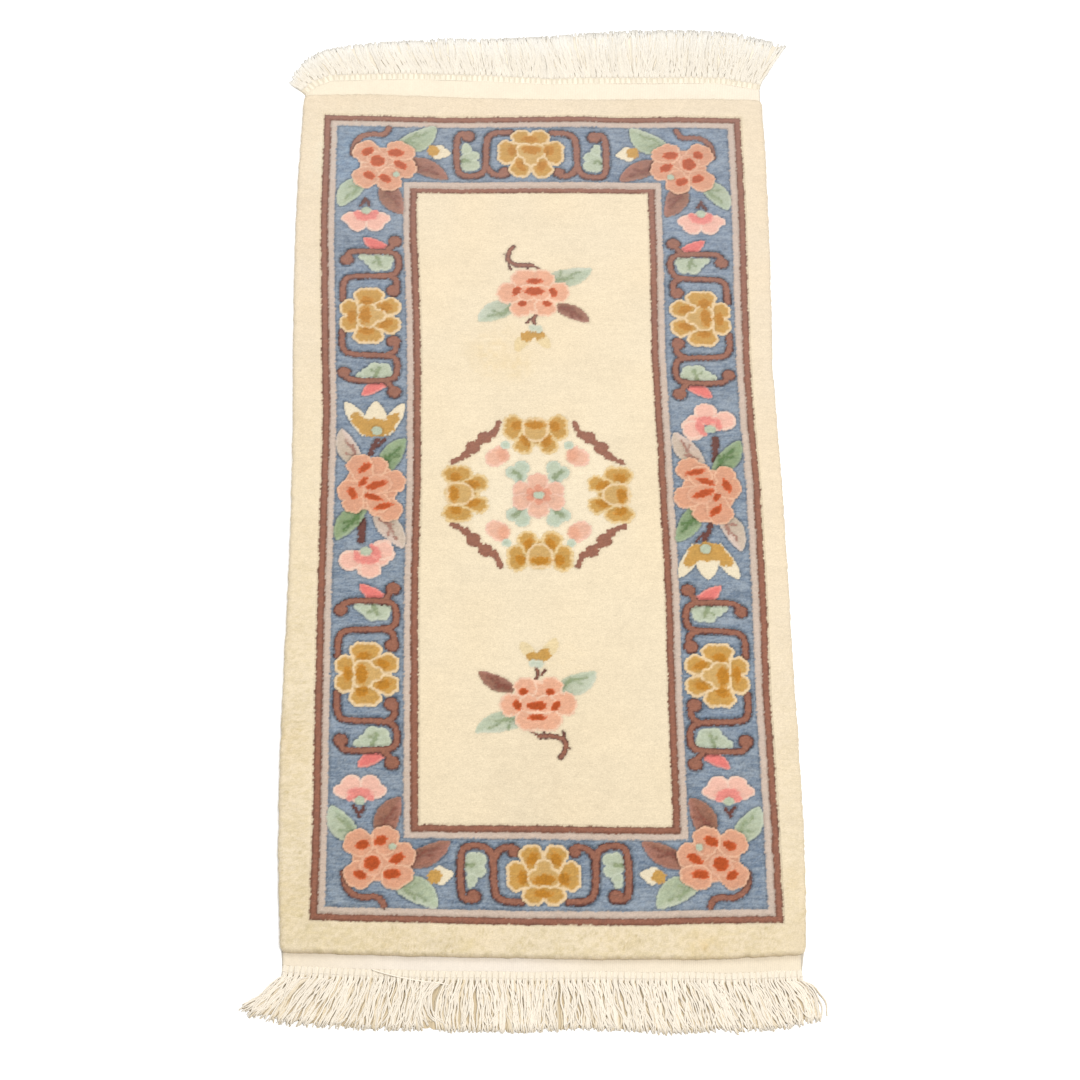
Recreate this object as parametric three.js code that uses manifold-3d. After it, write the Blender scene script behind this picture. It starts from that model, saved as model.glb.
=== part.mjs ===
// A hand-knotted Chinese wool rug that lies flat on the floor. Its pile is carved along
// the outlines of the pattern, a thin flat-woven web runs out at each end, and the warp
// ends beyond it are tied into a row of knots and left as a loose cotton fringe.
// Plan places are in millimetres from the near left corner of the outer guard stripe:
// x across the rug, y along it to the far end, z up from the floor.

import * as THREE from "three";
import { mergeVertices } from "three/addons/utils/BufferGeometryUtils.js";
import Module from "manifold-3d";

const wasm = await Module();
wasm.setup();

// Driving sizes
const pile = { top: 12.5, shoulder: 9.5, belly: 3.5, bevel: 3, foot: 1.8 };
const web = { thick: 2.6, lap: 14 };
const heading = { deep: 4, thick: 2.6, gap: 0.3 };
const stripe = { wide: 9, grooveWide: 3, grooveDeep: 2 };
const carving = { wide: 2.6, deep: 2 };
const locksPerEnd = 87;
const bloomSteps = 15;
const bloomHeart = 13;
const ballSteps = 6;
const leafForm = { foot: 0.56, belly: 0.36, point: 1.5 };
const sharpest = 0.5;
const clear = 0.5;

// The half turn and the mirror lines that repeat the pattern over the rug. The knotter
// packed the far half a little closer than the near half.
const mirrorX = 552;
const mirrorY = 1164;
const farHalf = { from: 80, packed: 0.973 };
const sideTurn = { x: 552, y: 1177 };
const sprayTurn = { x: 542, y: 1168 };
const medallion = { x: 274, y: 581, halfWide: 90, halfLong: 86 };

// Long edges of the pile, from the near end to the far end
const pileSides = [
  { y: -28, left: -32.5, right: 577 },
  { y: 30, left: -36, right: 581 },
  { y: 120, left: -38, right: 583 },
  { y: 220, left: -38, right: 583 },
  { y: 330, left: -36.5, right: 582 },
  { y: 450, left: -34, right: 582 },
  { y: 560, left: -33.5, right: 581.5 },
  { y: 680, left: -33.5, right: 580 },
  { y: 780, left: -35, right: 577.5 },
  { y: 870, left: -36, right: 581 },
  { y: 960, left: -36, right: 583 },
  { y: 1060, left: -34, right: 584.5 },
  { y: 1130, left: -31, right: 585 },
  { y: 1190, left: -28.5, right: 584 },
];

// Short edges of the pile, from left to right
const pileEnds = [
  { x: -26, near: -34, far: 1199 },
  { x: 60, near: -35, far: 1202 },
  { x: 140, near: -37, far: 1199 },
  { x: 215, near: -39.5, far: 1197 },
  { x: 300, near: -41, far: 1196 },
  { x: 380, near: -39.5, far: 1197 },
  { x: 455, near: -36.5, far: 1199 },
  { x: 530, near: -35, far: 1200.5 },
  { x: 571, near: -36, far: 1199 },
];

// The line where each web ends and its knotted heading begins, from left to right.
// The far left corner has drawn in and slants down to the pile.
const webEnds = {
  near: [
    { x: -30, y: -54 },
    { x: 20, y: -59 },
    { x: 100, y: -60 },
    { x: 190, y: -62.5 },
    { x: 270, y: -65 },
    { x: 350, y: -61 },
    { x: 430, y: -59 },
    { x: 510, y: -61 },
    { x: 572, y: -58 },
  ],
  far: [
    { x: -27, y: 1205 },
    { x: -12, y: 1224 },
    { x: 8, y: 1238 },
    { x: 70, y: 1241.5 },
    { x: 150, y: 1239 },
    { x: 230, y: 1234.5 },
    { x: 300, y: 1230.5 },
    { x: 380, y: 1233.5 },
    { x: 460, y: 1233 },
    { x: 530, y: 1232.5 },
    { x: 578, y: 1222 },
  ],
};

// How the locks lie, from left to right: the heading's share passed, the lean from the
// rug's length in degrees at the root and at the tip, right positive, and the length
const lies = {
  near: [
    { at: 0, root: -40, tip: -52, long: 72 },
    { at: 0.06, root: -33, tip: -44, long: 80 },
    { at: 0.14, root: -20, tip: -30, long: 78 },
    { at: 0.24, root: -9, tip: -17, long: 76 },
    { at: 0.29, root: -14, tip: -2, long: 75 },
    { at: 0.34, root: -8, tip: 1, long: 76 },
    { at: 0.44, root: 0, tip: 2, long: 76 },
    { at: 0.56, root: 7, tip: 3, long: 73 },
    { at: 0.66, root: 13, tip: 8, long: 76 },
    { at: 0.73, root: 9, tip: 17, long: 79 },
    { at: 0.84, root: 29, tip: 19, long: 77 },
    { at: 0.93, root: 27, tip: 8, long: 70 },
    { at: 1, root: 33, tip: 2, long: 69 },
  ],
  far: [
    { at: 0, root: -40, tip: -30, long: 26 },
    { at: 0.05, root: -34, tip: -26, long: 38 },
    { at: 0.1, root: -27, tip: -20, long: 46 },
    { at: 0.18, root: -24, tip: -18, long: 52 },
    { at: 0.3, root: -19, tip: -10, long: 60 },
    { at: 0.42, root: -12, tip: -4, long: 64 },
    { at: 0.55, root: -15, tip: -8, long: 74 },
    { at: 0.66, root: -8, tip: -2, long: 76 },
    { at: 0.75, root: 4, tip: 2, long: 80 },
    { at: 0.86, root: 6, tip: 9, long: 79 },
    { at: 0.94, root: 24, tip: 18, long: 76 },
    { at: 1, root: 46, tip: 26, long: 72 },
  ],
};

// One lock from the heading out: where each section lies, as millimetres or as a share of
// the lock's length, and how wide and how high it is there
const lockSections = [
  { name: "root", past: 0, share: 0, wide: 4.8, high: 2.6 },
  { name: "knot", past: 3.5, share: 0, wide: 6, high: 4.6 },
  { name: "neck", past: 7.5, share: 0, wide: 3.6, high: 2.2 },
  { name: "middle", past: 0, share: 0.52, wide: 4.8, high: 2.4 },
  { name: "tip", past: 0, share: 1, wide: 3.4, high: 1.2 },
];

// Carved stripe lines, outer edge of the outer stripe and inner edge of the inner one
const sideLines = [
  { y: 150, outLeft: 1, inLeft: 126, inRight: 426.5, outRight: 552 },
  { y: 300, outLeft: 2, inLeft: 125.5, inRight: 427, outRight: 551 },
  { y: 450, outLeft: 1, inLeft: 126.5, inRight: 427, outRight: 553 },
  { y: 600, outLeft: 3.5, inLeft: 128.5, inRight: 424.5, outRight: 551 },
  { y: 700, outLeft: 4.5, inLeft: 128, inRight: 424, outRight: 548.5 },
  { y: 790, outLeft: 2, inLeft: 127.5, inRight: 423, outRight: 548.5 },
  { y: 890, outLeft: -1, inLeft: 125.5, inRight: 425, outRight: 550 },
  { y: 990, outLeft: -3.5, inLeft: 122, inRight: 425, outRight: 551.5 },
];
const endLines = [
  { x: 175, nearOut: -3, nearIn: 124, farIn: 1039, farOut: 1163 },
  { x: 260, nearOut: -5, nearIn: 124, farIn: 1040, farOut: 1163 },
  { x: 340, nearOut: -4, nearIn: 122.5, farIn: 1041, farOut: 1166 },
  { x: 400, nearOut: -2.5, nearIn: 122, farIn: 1041, farOut: 1163 },
];
const lineCorners = {
  out: { left: 0, right: 551.5, near: 0, far: 1165 },
  in: { left: 125, right: 426, near: 124, far: 1040 },
};

// Petals of each kind of bloom, as circles about its middle
const cornerPetals = [
  { x: -21, y: 20, r: 18 },
  { x: 8, y: 23, r: 18 },
  { x: 26, y: 4, r: 18 },
  { x: 21, y: -22, r: 18 },
  { x: -19, y: -21, r: 20 },
];
const sidePetals = [
  { x: -4, y: 29, r: 19 },
  { x: 27, y: 17, r: 16 },
  { x: 27, y: -14, r: 16 },
  { x: 1, y: -30, r: 18 },
  { x: -26, y: 14, r: 15 },
  { x: -26, y: -12, r: 15 },
];
const middlePetals = [
  { x: -10, y: 27, r: 17 },
  { x: 12, y: 20, r: 18 },
  { x: 23, y: 6, r: 17 },
  { x: 20, y: -29, r: 18 },
  { x: -14, y: -20, r: 15 },
  { x: -24, y: -5, r: 15 },
];
const sprayPetals = [
  { x: -10, y: 20, r: 17 },
  { x: 11, y: 20, r: 17 },
  { x: 29, y: 1, r: 17 },
  { x: 15, y: -20, r: 17 },
  { x: -15, y: -20, r: 17 },
  { x: -28, y: 2, r: 17 },
];
const crownPetals = [
  { x: -28, y: 9, r: 15 },
  { x: 0, y: 6, r: 20 },
  { x: 29, y: 9, r: 15 },
  { x: -15, y: -17, r: 15 },
  { x: 15, y: -17, r: 15 },
];
const heartPetals = [
  { x: 0, y: 18, r: 14 },
  { x: 20, y: 7, r: 13 },
  { x: 20, y: -8, r: 13 },
  { x: 0, y: -17, r: 14 },
  { x: -20, y: -8, r: 13 },
  { x: -20, y: 7, r: 13 },
];
const blossomPetals = [
  { x: -18, y: 0, r: 13 },
  { x: 18, y: 0, r: 13 },
  { x: -11, y: 10, r: 12 },
  { x: 13, y: 10, r: 12 },
  { x: 0, y: -11, r: 9 },
];
const lowBlossomPetals = [
  { x: -19, y: -5, r: 15 },
  { x: 17, y: 8, r: 16 },
  { x: 4, y: -16, r: 13 },
];

// Outlines. Each takes a growth, so that a carved bevel has the same number of points
// at its foot and at its rim.

// A bloom: the farthest edge of its petals in each direction from its middle
function bloom(petals, x, y, turn = 0) {
  return (grow) =>
    Array.from({ length: bloomSteps }, (_, i) => {
      const angle = (i / bloomSteps) * 2 * Math.PI;
      const reach = petals.map((petal) => {
        const along = petal.x * Math.cos(angle) + petal.y * Math.sin(angle);
        const away = petal.x ** 2 + petal.y ** 2 - along ** 2;
        return away < petal.r ** 2 ? along + Math.sqrt(petal.r ** 2 - away) : 0;
      });
      const radius = Math.max(bloomHeart, ...reach) + grow;
      return [x + radius * Math.cos(angle + turn), y + radius * Math.sin(angle + turn)];
    });
}

// A pointed leaf or bud, widest at its belly a third of the way up
function leaf(x0, y0, x1, y1, wide) {
  const long = Math.hypot(x1 - x0, y1 - y0);
  const [ux, uy] = [(x1 - x0) / long, (y1 - y0) / long];
  const at = (along, side) => [x0 + along * ux - side * uy, y0 + along * uy + side * ux];
  const foot = (leafForm.foot * wide) / 2;
  return (grow) => [
    at(-grow, -foot - grow),
    at(leafForm.belly * long, -wide / 2 - grow),
    at(long + leafForm.point * grow, 0),
    at(leafForm.belly * long, wide / 2 + grow),
    at(-grow, foot + grow),
  ];
}

// A band of even width along a bent line
function band(wide, ...line) {
  const last = line.length - 1;
  const angleFrom = (i) => Math.atan2(line[i + 1][1] - line[i][1], line[i + 1][0] - line[i][0]);
  return (grow) => {
    const joints = line.map(([x, y], i) => {
      const before = angleFrom(Math.max(i - 1, 0));
      const after = angleFrom(Math.min(i, last - 1));
      const half = Math.atan2(Math.sin(after - before), Math.cos(after - before)) / 2;
      const past = i === 0 ? -grow : i === last ? grow : 0;
      return {
        x: x + past * Math.cos(before),
        y: y + past * Math.sin(before),
        across: before + half + Math.PI / 2,
        reach: (wide / 2 + grow) / Math.cos(half),
      };
    });
    const side = ({ x, y, across, reach }, sign) => [
      x + sign * reach * Math.cos(across),
      y + sign * reach * Math.sin(across),
    ];
    return [
      ...joints.map((joint) => side(joint, -1)),
      ...joints.map((joint) => side(joint, 1)).reverse(),
    ];
  };
}

// The round end of a scroll
function ball(x, y, radius) {
  return (grow) =>
    Array.from({ length: ballSteps }, (_, i) => {
      const angle = ((i + 0.5) / ballSteps) * 2 * Math.PI;
      const reach = (radius + grow) / Math.cos(Math.PI / ballSteps);
      return [x + reach * Math.cos(angle), y + reach * Math.sin(angle)];
    });
}

// Any closed shape that runs anticlockwise, grown by moving its edges out
function shape(...points) {
  return (grow) => growLoop(points, grow);
}

function growLoop(points, grow) {
  return points.map(([x, y], i) => {
    const [ax, ay] = points.at(i - 1);
    const [bx, by] = points[(i + 1) % points.length];
    const a = Math.atan2(y - ay, x - ax);
    const bend = Math.atan2(by - y, bx - x) - a;
    const half = Math.atan2(Math.sin(bend), Math.cos(bend)) / 2;
    const reach = grow / Math.max(Math.cos(half), sharpest);
    const across = a + half - Math.PI / 2;
    return [x + reach * Math.cos(across), y + reach * Math.sin(across)];
  });
}

// Placing a motif on the rug again
const turned = (motif, about) => (grow) => motif(grow).map(([x, y]) => [about.x - x, about.y - y]);
const mirroredX = (motif) => (grow) => motif(grow).map(([x, y]) => [mirrorX - x, y]).reverse();
const mirroredY = (motif) => (grow) =>
  motif(grow)
    .map(([x, y]) => {
      const packed = y < farHalf.from ? y : farHalf.from + (y - farHalf.from) * farHalf.packed;
      return [x, mirrorY - packed];
    })
    .reverse();
const flipped = (motif, signX, signY) => (grow) => {
  const points = motif(grow).map(([x, y]) => [medallion.x + signX * x, medallion.y + signY * y]);
  return signX * signY > 0 ? points : points.reverse();
};

// The near left quarter of the border: corner, end scroll and long side
const quarterMotifs = [
  bloom(cornerPetals, 79, 80),
  leaf(50, 105, 22, 148, 28),
  leaf(84, 110, 103, 160, 31),
  leaf(104, 52, 149, 21, 28),
  leaf(116, 76, 162, 100, 28),
  band(8, [37, 50], [50, 33], [70, 30], [83, 21]),
  band(10, [191, 30], [176, 30], [174, 92], [208, 98], [213, 25], [248, 25]),
  band(10, [212, 78], [222, 96], [238, 90]),
  ball(191, 32, 10),
  ball(238, 89, 9),
  bloom(blossomPetals, 57, 169),
  band(9.5, [32, 236], [38, 222], [88, 222], [99, 242], [88, 262], [36, 262], [28, 274], [28, 300]),
  band(9.5, [86, 262], [98, 271], [95, 285]),
  band(11, [86, 221], [95, 206]),
  ball(31, 237, 9),
  ball(94, 286, 9),
  ball(95, 205, 10),
  bloom(sidePetals, 62, 325),
  band(9.5, [27, 350], [28, 378], [38, 387], [86, 387], [99, 407], [86, 427], [38, 427], [31, 414]),
  band(9.5, [84, 387], [98, 376], [94, 364]),
  band(11, [85, 428], [95, 444]),
  ball(30, 413, 9),
  ball(93, 364, 9.5),
  ball(95, 444, 10),
];

// The middle of the near end, the middle of the left side and one field spray
const endMotif = bloom(sidePetals, 274, 62, Math.PI / 2);
const lotus = shape([34, 711], [42, 680], [73, 662], [103, 680], [106, 710], [87, 700], [70, 711], [53, 700]);
const sideMotifs = [
  bloom(middlePetals, 65, 590),
  leaf(82, 614, 107, 655, 27),
  leaf(53, 556, 23, 514, 28),
  leaf(51, 626, 26, 668, 28),
  leaf(77, 544, 104, 502, 28),
  lotus,
  bloom(lowBlossomPetals, 62, 487),
];
const sprayMotifs = [
  bloom(sprayPetals, 272, 880),
  leaf(292, 907, 348, 918, 24),
  leaf(246, 866, 202, 839, 26),
  leaf(302, 864, 343, 839, 22),
  band(6, [248, 955], [240, 942], [244, 930], [274, 925]),
  leaf(274, 830, 264, 800, 26),
];

// The medallion, from its middle: crowns on the four axes, then one of each diagonal pair
const crowns = [
  { x: 0, y: medallion.halfLong, turn: 0 },
  { x: -medallion.halfWide, y: 0, turn: Math.PI / 2 },
  { x: 0, y: -medallion.halfLong, turn: Math.PI },
  { x: medallion.halfWide, y: 0, turn: -Math.PI / 2 },
];
const diagonalMotifs = [
  band(8.5, [47, 106], [54, 88], [68, 78], [82, 66], [92, 53], [106, 46]),
  ball(67, 80, 9),
  ball(81, 66, 9.5),
  leaf(37, 71, 62, 46, 27),
  leaf(15, 20, 30, 50, 23),
];
const medallionMotifs = [
  bloom(heartPetals, medallion.x, medallion.y - 3),
  ...crowns.map(({ x, y, turn }) => bloom(crownPetals, medallion.x + x, medallion.y + y, turn)),
  ...diagonalMotifs.flatMap((motif) => [
    flipped(motif, 1, 1),
    flipped(motif, -1, 1),
    flipped(motif, -1, -1),
    flipped(motif, 1, -1),
  ]),
];
const nearMotifs = quarterMotifs.flatMap((motif) => [motif, mirroredX(motif)]);
const motifs = [
  ...nearMotifs,
  ...nearMotifs.map(mirroredY),
  endMotif,
  mirroredY(endMotif),
  ...sideMotifs.flatMap((motif) => [motif, turned(motif, sideTurn)]),
  ...sprayMotifs.flatMap((motif) => [motif, turned(motif, sprayTurn)]),
  ...medallionMotifs,
];

// Solids

const raised = (points, z) => points.map(([x, y]) => [x, y, z]);

// A closed body through rings of equal length, from the lowest up, each anticlockwise
function stack(...rings) {
  const count = rings[0].length;
  const flat = rings[0].map(([x, y]) => new THREE.Vector2(x, y));
  const last = (rings.length - 1) * count;
  const index = [];
  for (const [a, b, c] of THREE.ShapeUtils.triangulateShape(flat, [])) {
    index.push(c, b, a);
    index.push(last + a, last + b, last + c);
  }
  for (let ring = 0; ring < rings.length - 1; ring++) {
    for (let i = 0; i < count; i++) {
      const a = ring * count + i;
      const b = ring * count + ((i + 1) % count);
      index.push(a, b, b + count);
      index.push(a, b + count, a + count);
    }
  }
  return solid(rings.flat(2), index);
}

function solid(positions, index) {
  const geometry = new THREE.BufferGeometry();
  geometry.setAttribute("position", new THREE.Float32BufferAttribute(positions, 3));
  geometry.setIndex(index);
  const merged = mergeVertices(geometry);
  return new wasm.Manifold(
    new wasm.Mesh({
      numProp: 3,
      vertProperties: new Float32Array(merged.attributes.position.array),
      triVerts: new Uint32Array(merged.index.array),
    })
  );
}

function join(solids) {
  return solids.reduce((all, next) => all.add(next));
}

function geometryOf(manifold) {
  const mesh = manifold.getMesh();
  const geometry = new THREE.BufferGeometry();
  geometry.setAttribute("position", new THREE.BufferAttribute(mesh.vertProperties, 3));
  geometry.setIndex(new THREE.BufferAttribute(mesh.triVerts, 1));
  return geometry;
}

// The pile's uneven outline, anticlockwise from the near left corner
function pileOutline() {
  return [
    ...pileEnds.map(({ x, near }) => [x, near]),
    ...pileSides.map(({ y, right }) => [right, y]),
    ...pileEnds.map(({ x, far }) => [x, far]).reverse(),
    ...pileSides.map(({ y, left }) => [left, y]).reverse(),
  ];
}

// Pile and foundation: undercut a little at the floor, its upper edge worn round
function pileSlab() {
  const outline = pileOutline();
  return stack(
    raised(growLoop(outline, -pile.foot), 0),
    raised(outline, pile.belly),
    raised(outline, pile.shoulder),
    raised(growLoop(outline, -pile.bevel), pile.top)
  );
}

// The flat-woven web at one end, lapped under the pile so that the cloth is one piece
function webTongue(end) {
  const line = webEnds[end].map(({ x, y }) => [x, y]);
  const edge = pileEnds.map((row) => [row.x, row[end]]);
  const inward = end === "near" ? 1 : -1;
  const root = [edge[0], edge.at(-1)].map(([x, y]) => [x, y + inward * web.lap]);
  const points = end === "near" ? [...line, root[1], root[0]] : [root[0], root[1], ...line.toReversed()];
  return stack(raised(points, 0), raised(points, web.thick));
}

// A cut with sloping sides along a closed line
function groove(points, wide, deep) {
  const rim = (deep + clear) / deep;
  const outer = growLoop(points, (wide / 2) * rim);
  const inner = growLoop(points, (-wide / 2) * rim);
  const count = points.length;
  const foot = raised(points, pile.top - deep);
  const positions = [foot, raised(outer, pile.top + clear), raised(inner, pile.top + clear)];
  const index = [];
  for (let i = 0; i < count; i++) {
    const next = (i + 1) % count;
    for (const [a, b] of [[0, 1], [1, 2], [2, 0]]) {
      index.push(a * count + i, a * count + next, b * count + next);
      index.push(a * count + i, b * count + next, b * count + i);
    }
  }
  return solid(positions.flat(2), index);
}

// The four carved lines on either side of the outer and the inner stripe
function stripeGrooves() {
  const loop = (near, far, left, right, corners) => {
    const inside = (value, low, high) => value > low + stripe.wide && value < high - stripe.wide;
    const sides = sideLines.filter(({ y }) => inside(y, corners.near, corners.far));
    const ends = endLines.filter(({ x }) => inside(x, corners.left, corners.right));
    return [
      [corners.left, corners.near],
      ...ends.map((row) => [row.x, row[near]]),
      [corners.right, corners.near],
      ...sides.map((row) => [row[right], row.y]),
      [corners.right, corners.far],
      ...ends.map((row) => [row.x, row[far]]).reverse(),
      [corners.left, corners.far],
      ...sides.map((row) => [row[left], row.y]).reverse(),
    ];
  };
  const out = loop("nearOut", "farOut", "outLeft", "outRight", lineCorners.out);
  const inner = loop("nearIn", "farIn", "inLeft", "inRight", lineCorners.in);
  const lines = [out, growLoop(out, -stripe.wide), inner, growLoop(inner, stripe.wide)];
  return join(lines.map((line) => groove(line, stripe.grooveWide, stripe.grooveDeep)));
}

// The bevels that set each motif off from its ground: the ground slopes down to the
// motif's edge, which stands straight
function motifBevels() {
  const foot = pile.top - carving.deep;
  const rim = carving.wide * ((carving.deep + clear) / carving.deep);
  const slope = (motif) => stack(raised(motif(0), foot), raised(motif(rim), pile.top + clear));
  const standing = (motif) => stack(raised(motif(0), foot - clear), raised(motif(0), pile.top + 2 * clear));
  return join(motifs.map(slope)).subtract(join(motifs.map(standing)));
}

function carpetSolid() {
  const cloth = join([pileSlab(), webTongue("near"), webTongue("far")]);
  return cloth.subtract(stripeGrooves()).subtract(motifBevels());
}

// Fringe

function mix(rows, at, key) {
  const next = rows.findIndex((row) => row.at >= at);
  if (next <= 0) return rows[0][key];
  const [a, b] = [rows[next - 1], rows[next]];
  return a[key] + ((b[key] - a[key]) * (at - a.at)) / (b.at - a.at);
}

// A line's points, moved sideways: away from the pile where the distance is positive
function besideLine(line, distance) {
  return line.map(({ x, y }, i) => {
    const a = line[Math.max(i - 1, 0)];
    const b = line[Math.min(i + 1, line.length - 1)];
    const long = Math.hypot(b.x - a.x, b.y - a.y);
    return [x - ((b.y - a.y) / long) * distance, y + ((b.x - a.x) / long) * distance];
  });
}

// The place and the outward direction a share of the way along the heading's front
function alongLine(points, share) {
  const steps = points.slice(1).map(([x, y], i) => Math.hypot(x - points[i][0], y - points[i][1]));
  let left = share * steps.reduce((sum, step) => sum + step, 0);
  let i = 0;
  while (i < steps.length - 1 && left > steps[i]) {
    left -= steps[i];
    i += 1;
  }
  const [ax, ay] = points[i];
  const [bx, by] = points[i + 1];
  const part = left / steps[i];
  return { x: ax + (bx - ax) * part, y: ay + (by - ay) * part, angle: Math.atan2(by - ay, bx - ax) };
}

// The two edges of one knotted lock, from its root in the heading to its loose tip. Its
// knot stands straight out, and the rest turns the way it lies on the floor, narrower
// where it leans towards its neighbours.
function lockEdges(root, straight, side, lie) {
  const way = (along) => lie.root + ((lie.tip - lie.root) * along) / lie.long;
  let { x, y } = root;
  let passed = 0;
  return lockSections.map(({ past, share, wide, high }) => {
    const along = past + share * lie.long;
    const loose = share > 0;
    const direction = loose ? way((passed + along) / 2) : straight;
    x += (along - passed) * Math.cos(direction);
    y += (along - passed) * Math.sin(direction);
    passed = along;
    const facing = loose ? way(along) : straight;
    const half = (wide / 2) * Math.cos(facing - straight);
    const across = facing + side;
    const edge = (sign) => [x + sign * half * Math.cos(across), y + sign * half * Math.sin(across), high];
    return { left: edge(1), right: edge(-1) };
  });
}

// One end's heading strip with its knots and locks, as one body on the floor
function fringeSolid(end) {
  const outward = end === "near" ? -1 : 1;
  const back = besideLine(webEnds[end], outward * heading.gap);
  const front = besideLine(webEnds[end], outward * (heading.gap + heading.deep));
  const comb = [];
  for (let i = 0; i < locksPerEnd; i++) {
    const share = (i + 0.5) / locksPerEnd;
    const place = alongLine(front, share);
    const quarter = (outward * Math.PI) / 2;
    const way = (key) => quarter - outward * THREE.MathUtils.degToRad(mix(lies[end], share, key));
    const lie = { root: way("root"), tip: way("tip"), long: mix(lies[end], share, "long") };
    const edges = lockEdges(place, place.angle + quarter, quarter, lie);
    comb.push(...edges.map(({ left }) => left), ...edges.map(({ right }) => right).reverse());
  }
  comb.push(...raised(back, heading.thick).reverse());
  const outline = end === "near" ? comb : comb.reverse();
  return stack(raised(outline, 0), outline);
}

// The rug
const wool = new THREE.MeshStandardMaterial({ color: 0xf2e3c8, roughness: 0.95, metalness: 0 });
const cotton = new THREE.MeshStandardMaterial({ color: 0xf3e7d8, roughness: 0.9, metalness: 0 });

function piece(name, manifold, material) {
  const mesh = new THREE.Mesh(geometryOf(manifold), material);
  mesh.name = name;
  return mesh;
}

const rug = new THREE.Group();
rug.add(piece("carpet", carpetSolid(), wool));
rug.add(piece("fringe_far", fringeSolid("far"), cotton));
rug.add(piece("fringe_near", fringeSolid("near"), cotton));

// The origin is on the floor under the middle of the whole rug, fringes included
const middle = new THREE.Box3().setFromObject(rug).getCenter(new THREE.Vector3());
rug.position.set(-middle.x, -middle.y, 0);

export default rug;
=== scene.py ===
import math

import bmesh
import bpy
import numpy as np
from mathutils import Matrix, Vector


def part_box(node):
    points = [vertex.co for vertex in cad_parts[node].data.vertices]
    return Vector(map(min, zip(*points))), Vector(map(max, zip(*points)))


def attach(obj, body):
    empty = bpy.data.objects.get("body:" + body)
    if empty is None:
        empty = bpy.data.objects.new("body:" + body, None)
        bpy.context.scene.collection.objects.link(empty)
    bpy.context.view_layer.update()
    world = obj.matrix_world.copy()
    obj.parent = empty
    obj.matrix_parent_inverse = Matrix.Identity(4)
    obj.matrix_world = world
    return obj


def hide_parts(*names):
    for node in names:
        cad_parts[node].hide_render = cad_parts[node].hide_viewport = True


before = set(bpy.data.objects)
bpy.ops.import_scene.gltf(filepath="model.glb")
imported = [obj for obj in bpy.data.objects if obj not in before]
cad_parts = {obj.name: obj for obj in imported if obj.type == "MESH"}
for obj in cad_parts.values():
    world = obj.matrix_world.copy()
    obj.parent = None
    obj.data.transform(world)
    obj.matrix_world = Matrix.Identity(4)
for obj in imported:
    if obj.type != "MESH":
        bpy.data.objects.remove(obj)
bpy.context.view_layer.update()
scene = bpy.context.scene

# Plan sizes are in millimetres from the near left corner of the outer guard stripe:
# x across the rug, y along it to the far end, z up from the floor.
clothLow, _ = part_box("carpet")
cornerInset = (38.0, 65.0)      # of that corner, from the corner of the carpet's box
planStart = (clothLow.x * 1000 + cornerInset[0], clothLow.y * 1000 + cornerInset[1])


def toFrame(x, y, z):
    return np.stack([(x + planStart[0]) / 1000, (y + planStart[1]) / 1000, z / 1000], axis=-1)


def linear(tone):
    # a screen colour, 0 to 255, as a linear one
    part = np.asarray(tone, float) / 255
    return np.where(part <= 0.04045, part / 12.92, ((part + 0.055) / 1.055) ** 2.4)


def mix(a, b, share):
    return a + (b - a) * share


def ease(value):
    value = np.clip(value, 0, 1)
    return value * value * (3 - 2 * value)


def cloud(x, y, size, seed, stretch=1.0):
    # soft lumps about size mm across, from -1 to 1; before keeps every place above 0
    before = 300
    gx, gy = (np.asarray(x) + before) / (size * stretch), (np.asarray(y) + before) / size
    lattice = np.random.default_rng(seed).uniform(-1, 1, (int(gy.max()) + 3, int(gx.max()) + 3))
    ix, iy = gx.astype(int), gy.astype(int)
    fx, fy = ease(gx - ix), ease(gy - iy)
    near = mix(lattice[iy, ix], lattice[iy, ix + 1], fx)
    far = mix(lattice[iy + 1, ix], lattice[iy + 1, ix + 1], fx)
    return mix(near, far, fy)


pileSizes = {
    "knot": 2.9,            # one knot of the weave
    "acrossKnots": 190,     # knots between the outer edges of the outer stripes
    "alongKnots": 402,
    "borderKnots": 43,      # from the outer edge of the border to the field
    "stripeKnots": 3,
    "top": 12.5,
    "stepShare": 0.3,       # how far colours step by whole knots
}
knot = pileSizes["knot"]
wide = pileSizes["acrossKnots"] * knot
long = pileSizes["alongKnots"] * knot
border = pileSizes["borderKnots"] * knot
stripeWide = pileSizes["stripeKnots"] * knot

# how the cloth has drawn in: measured lines, from the near end to the far end
sideLines = {
    "y": [-28, 30, 120, 220, 330, 450, 560, 680, 780, 870, 960, 1060, 1130, 1190],
    "left": [-34.5, -38, -40, -40, -38, -35, -33.5, -33.5, -35, -36, -36, -34, -31, -28.5],
    "right": [577, 581, 583, 583, 582, 582, 581.5, 580, 577.5, 581, 583, 584.5, 585, 584],
}
stripeLines = {
    "y": [0, 150, 300, 450, 600, 700, 790, 890, 990, 1165],
    "outLeft": [-1.4, 0.7, 0.6, 1.3, 3.5, 4.2, 1.3, -0.9, -3.2, -0.4],
    "inLeft": [125, 125.2, 124.7, 124.6, 127.8, 127.5, 128, 125.6, 121.8, 124],
    "inRight": [426.5, 427, 427, 428.2, 426.3, 424.4, 422.8, 424.6, 425.6, 426],
    "outRight": [552.3, 552.3, 550.7, 553.1, 553, 549.3, 548.8, 550.3, 552.9, 553.6],
}
endLines = {
    "x": [-26, 60, 140, 215, 300, 380, 455, 530, 571],
    "near": [-36, -38.8, -41, -42.2, -44.2, -44, -44.5, -40.5, -38],
    "far": [1199, 1202, 1199, 1197, 1196, 1197, 1199, 1200.5, 1199],
}
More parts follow.
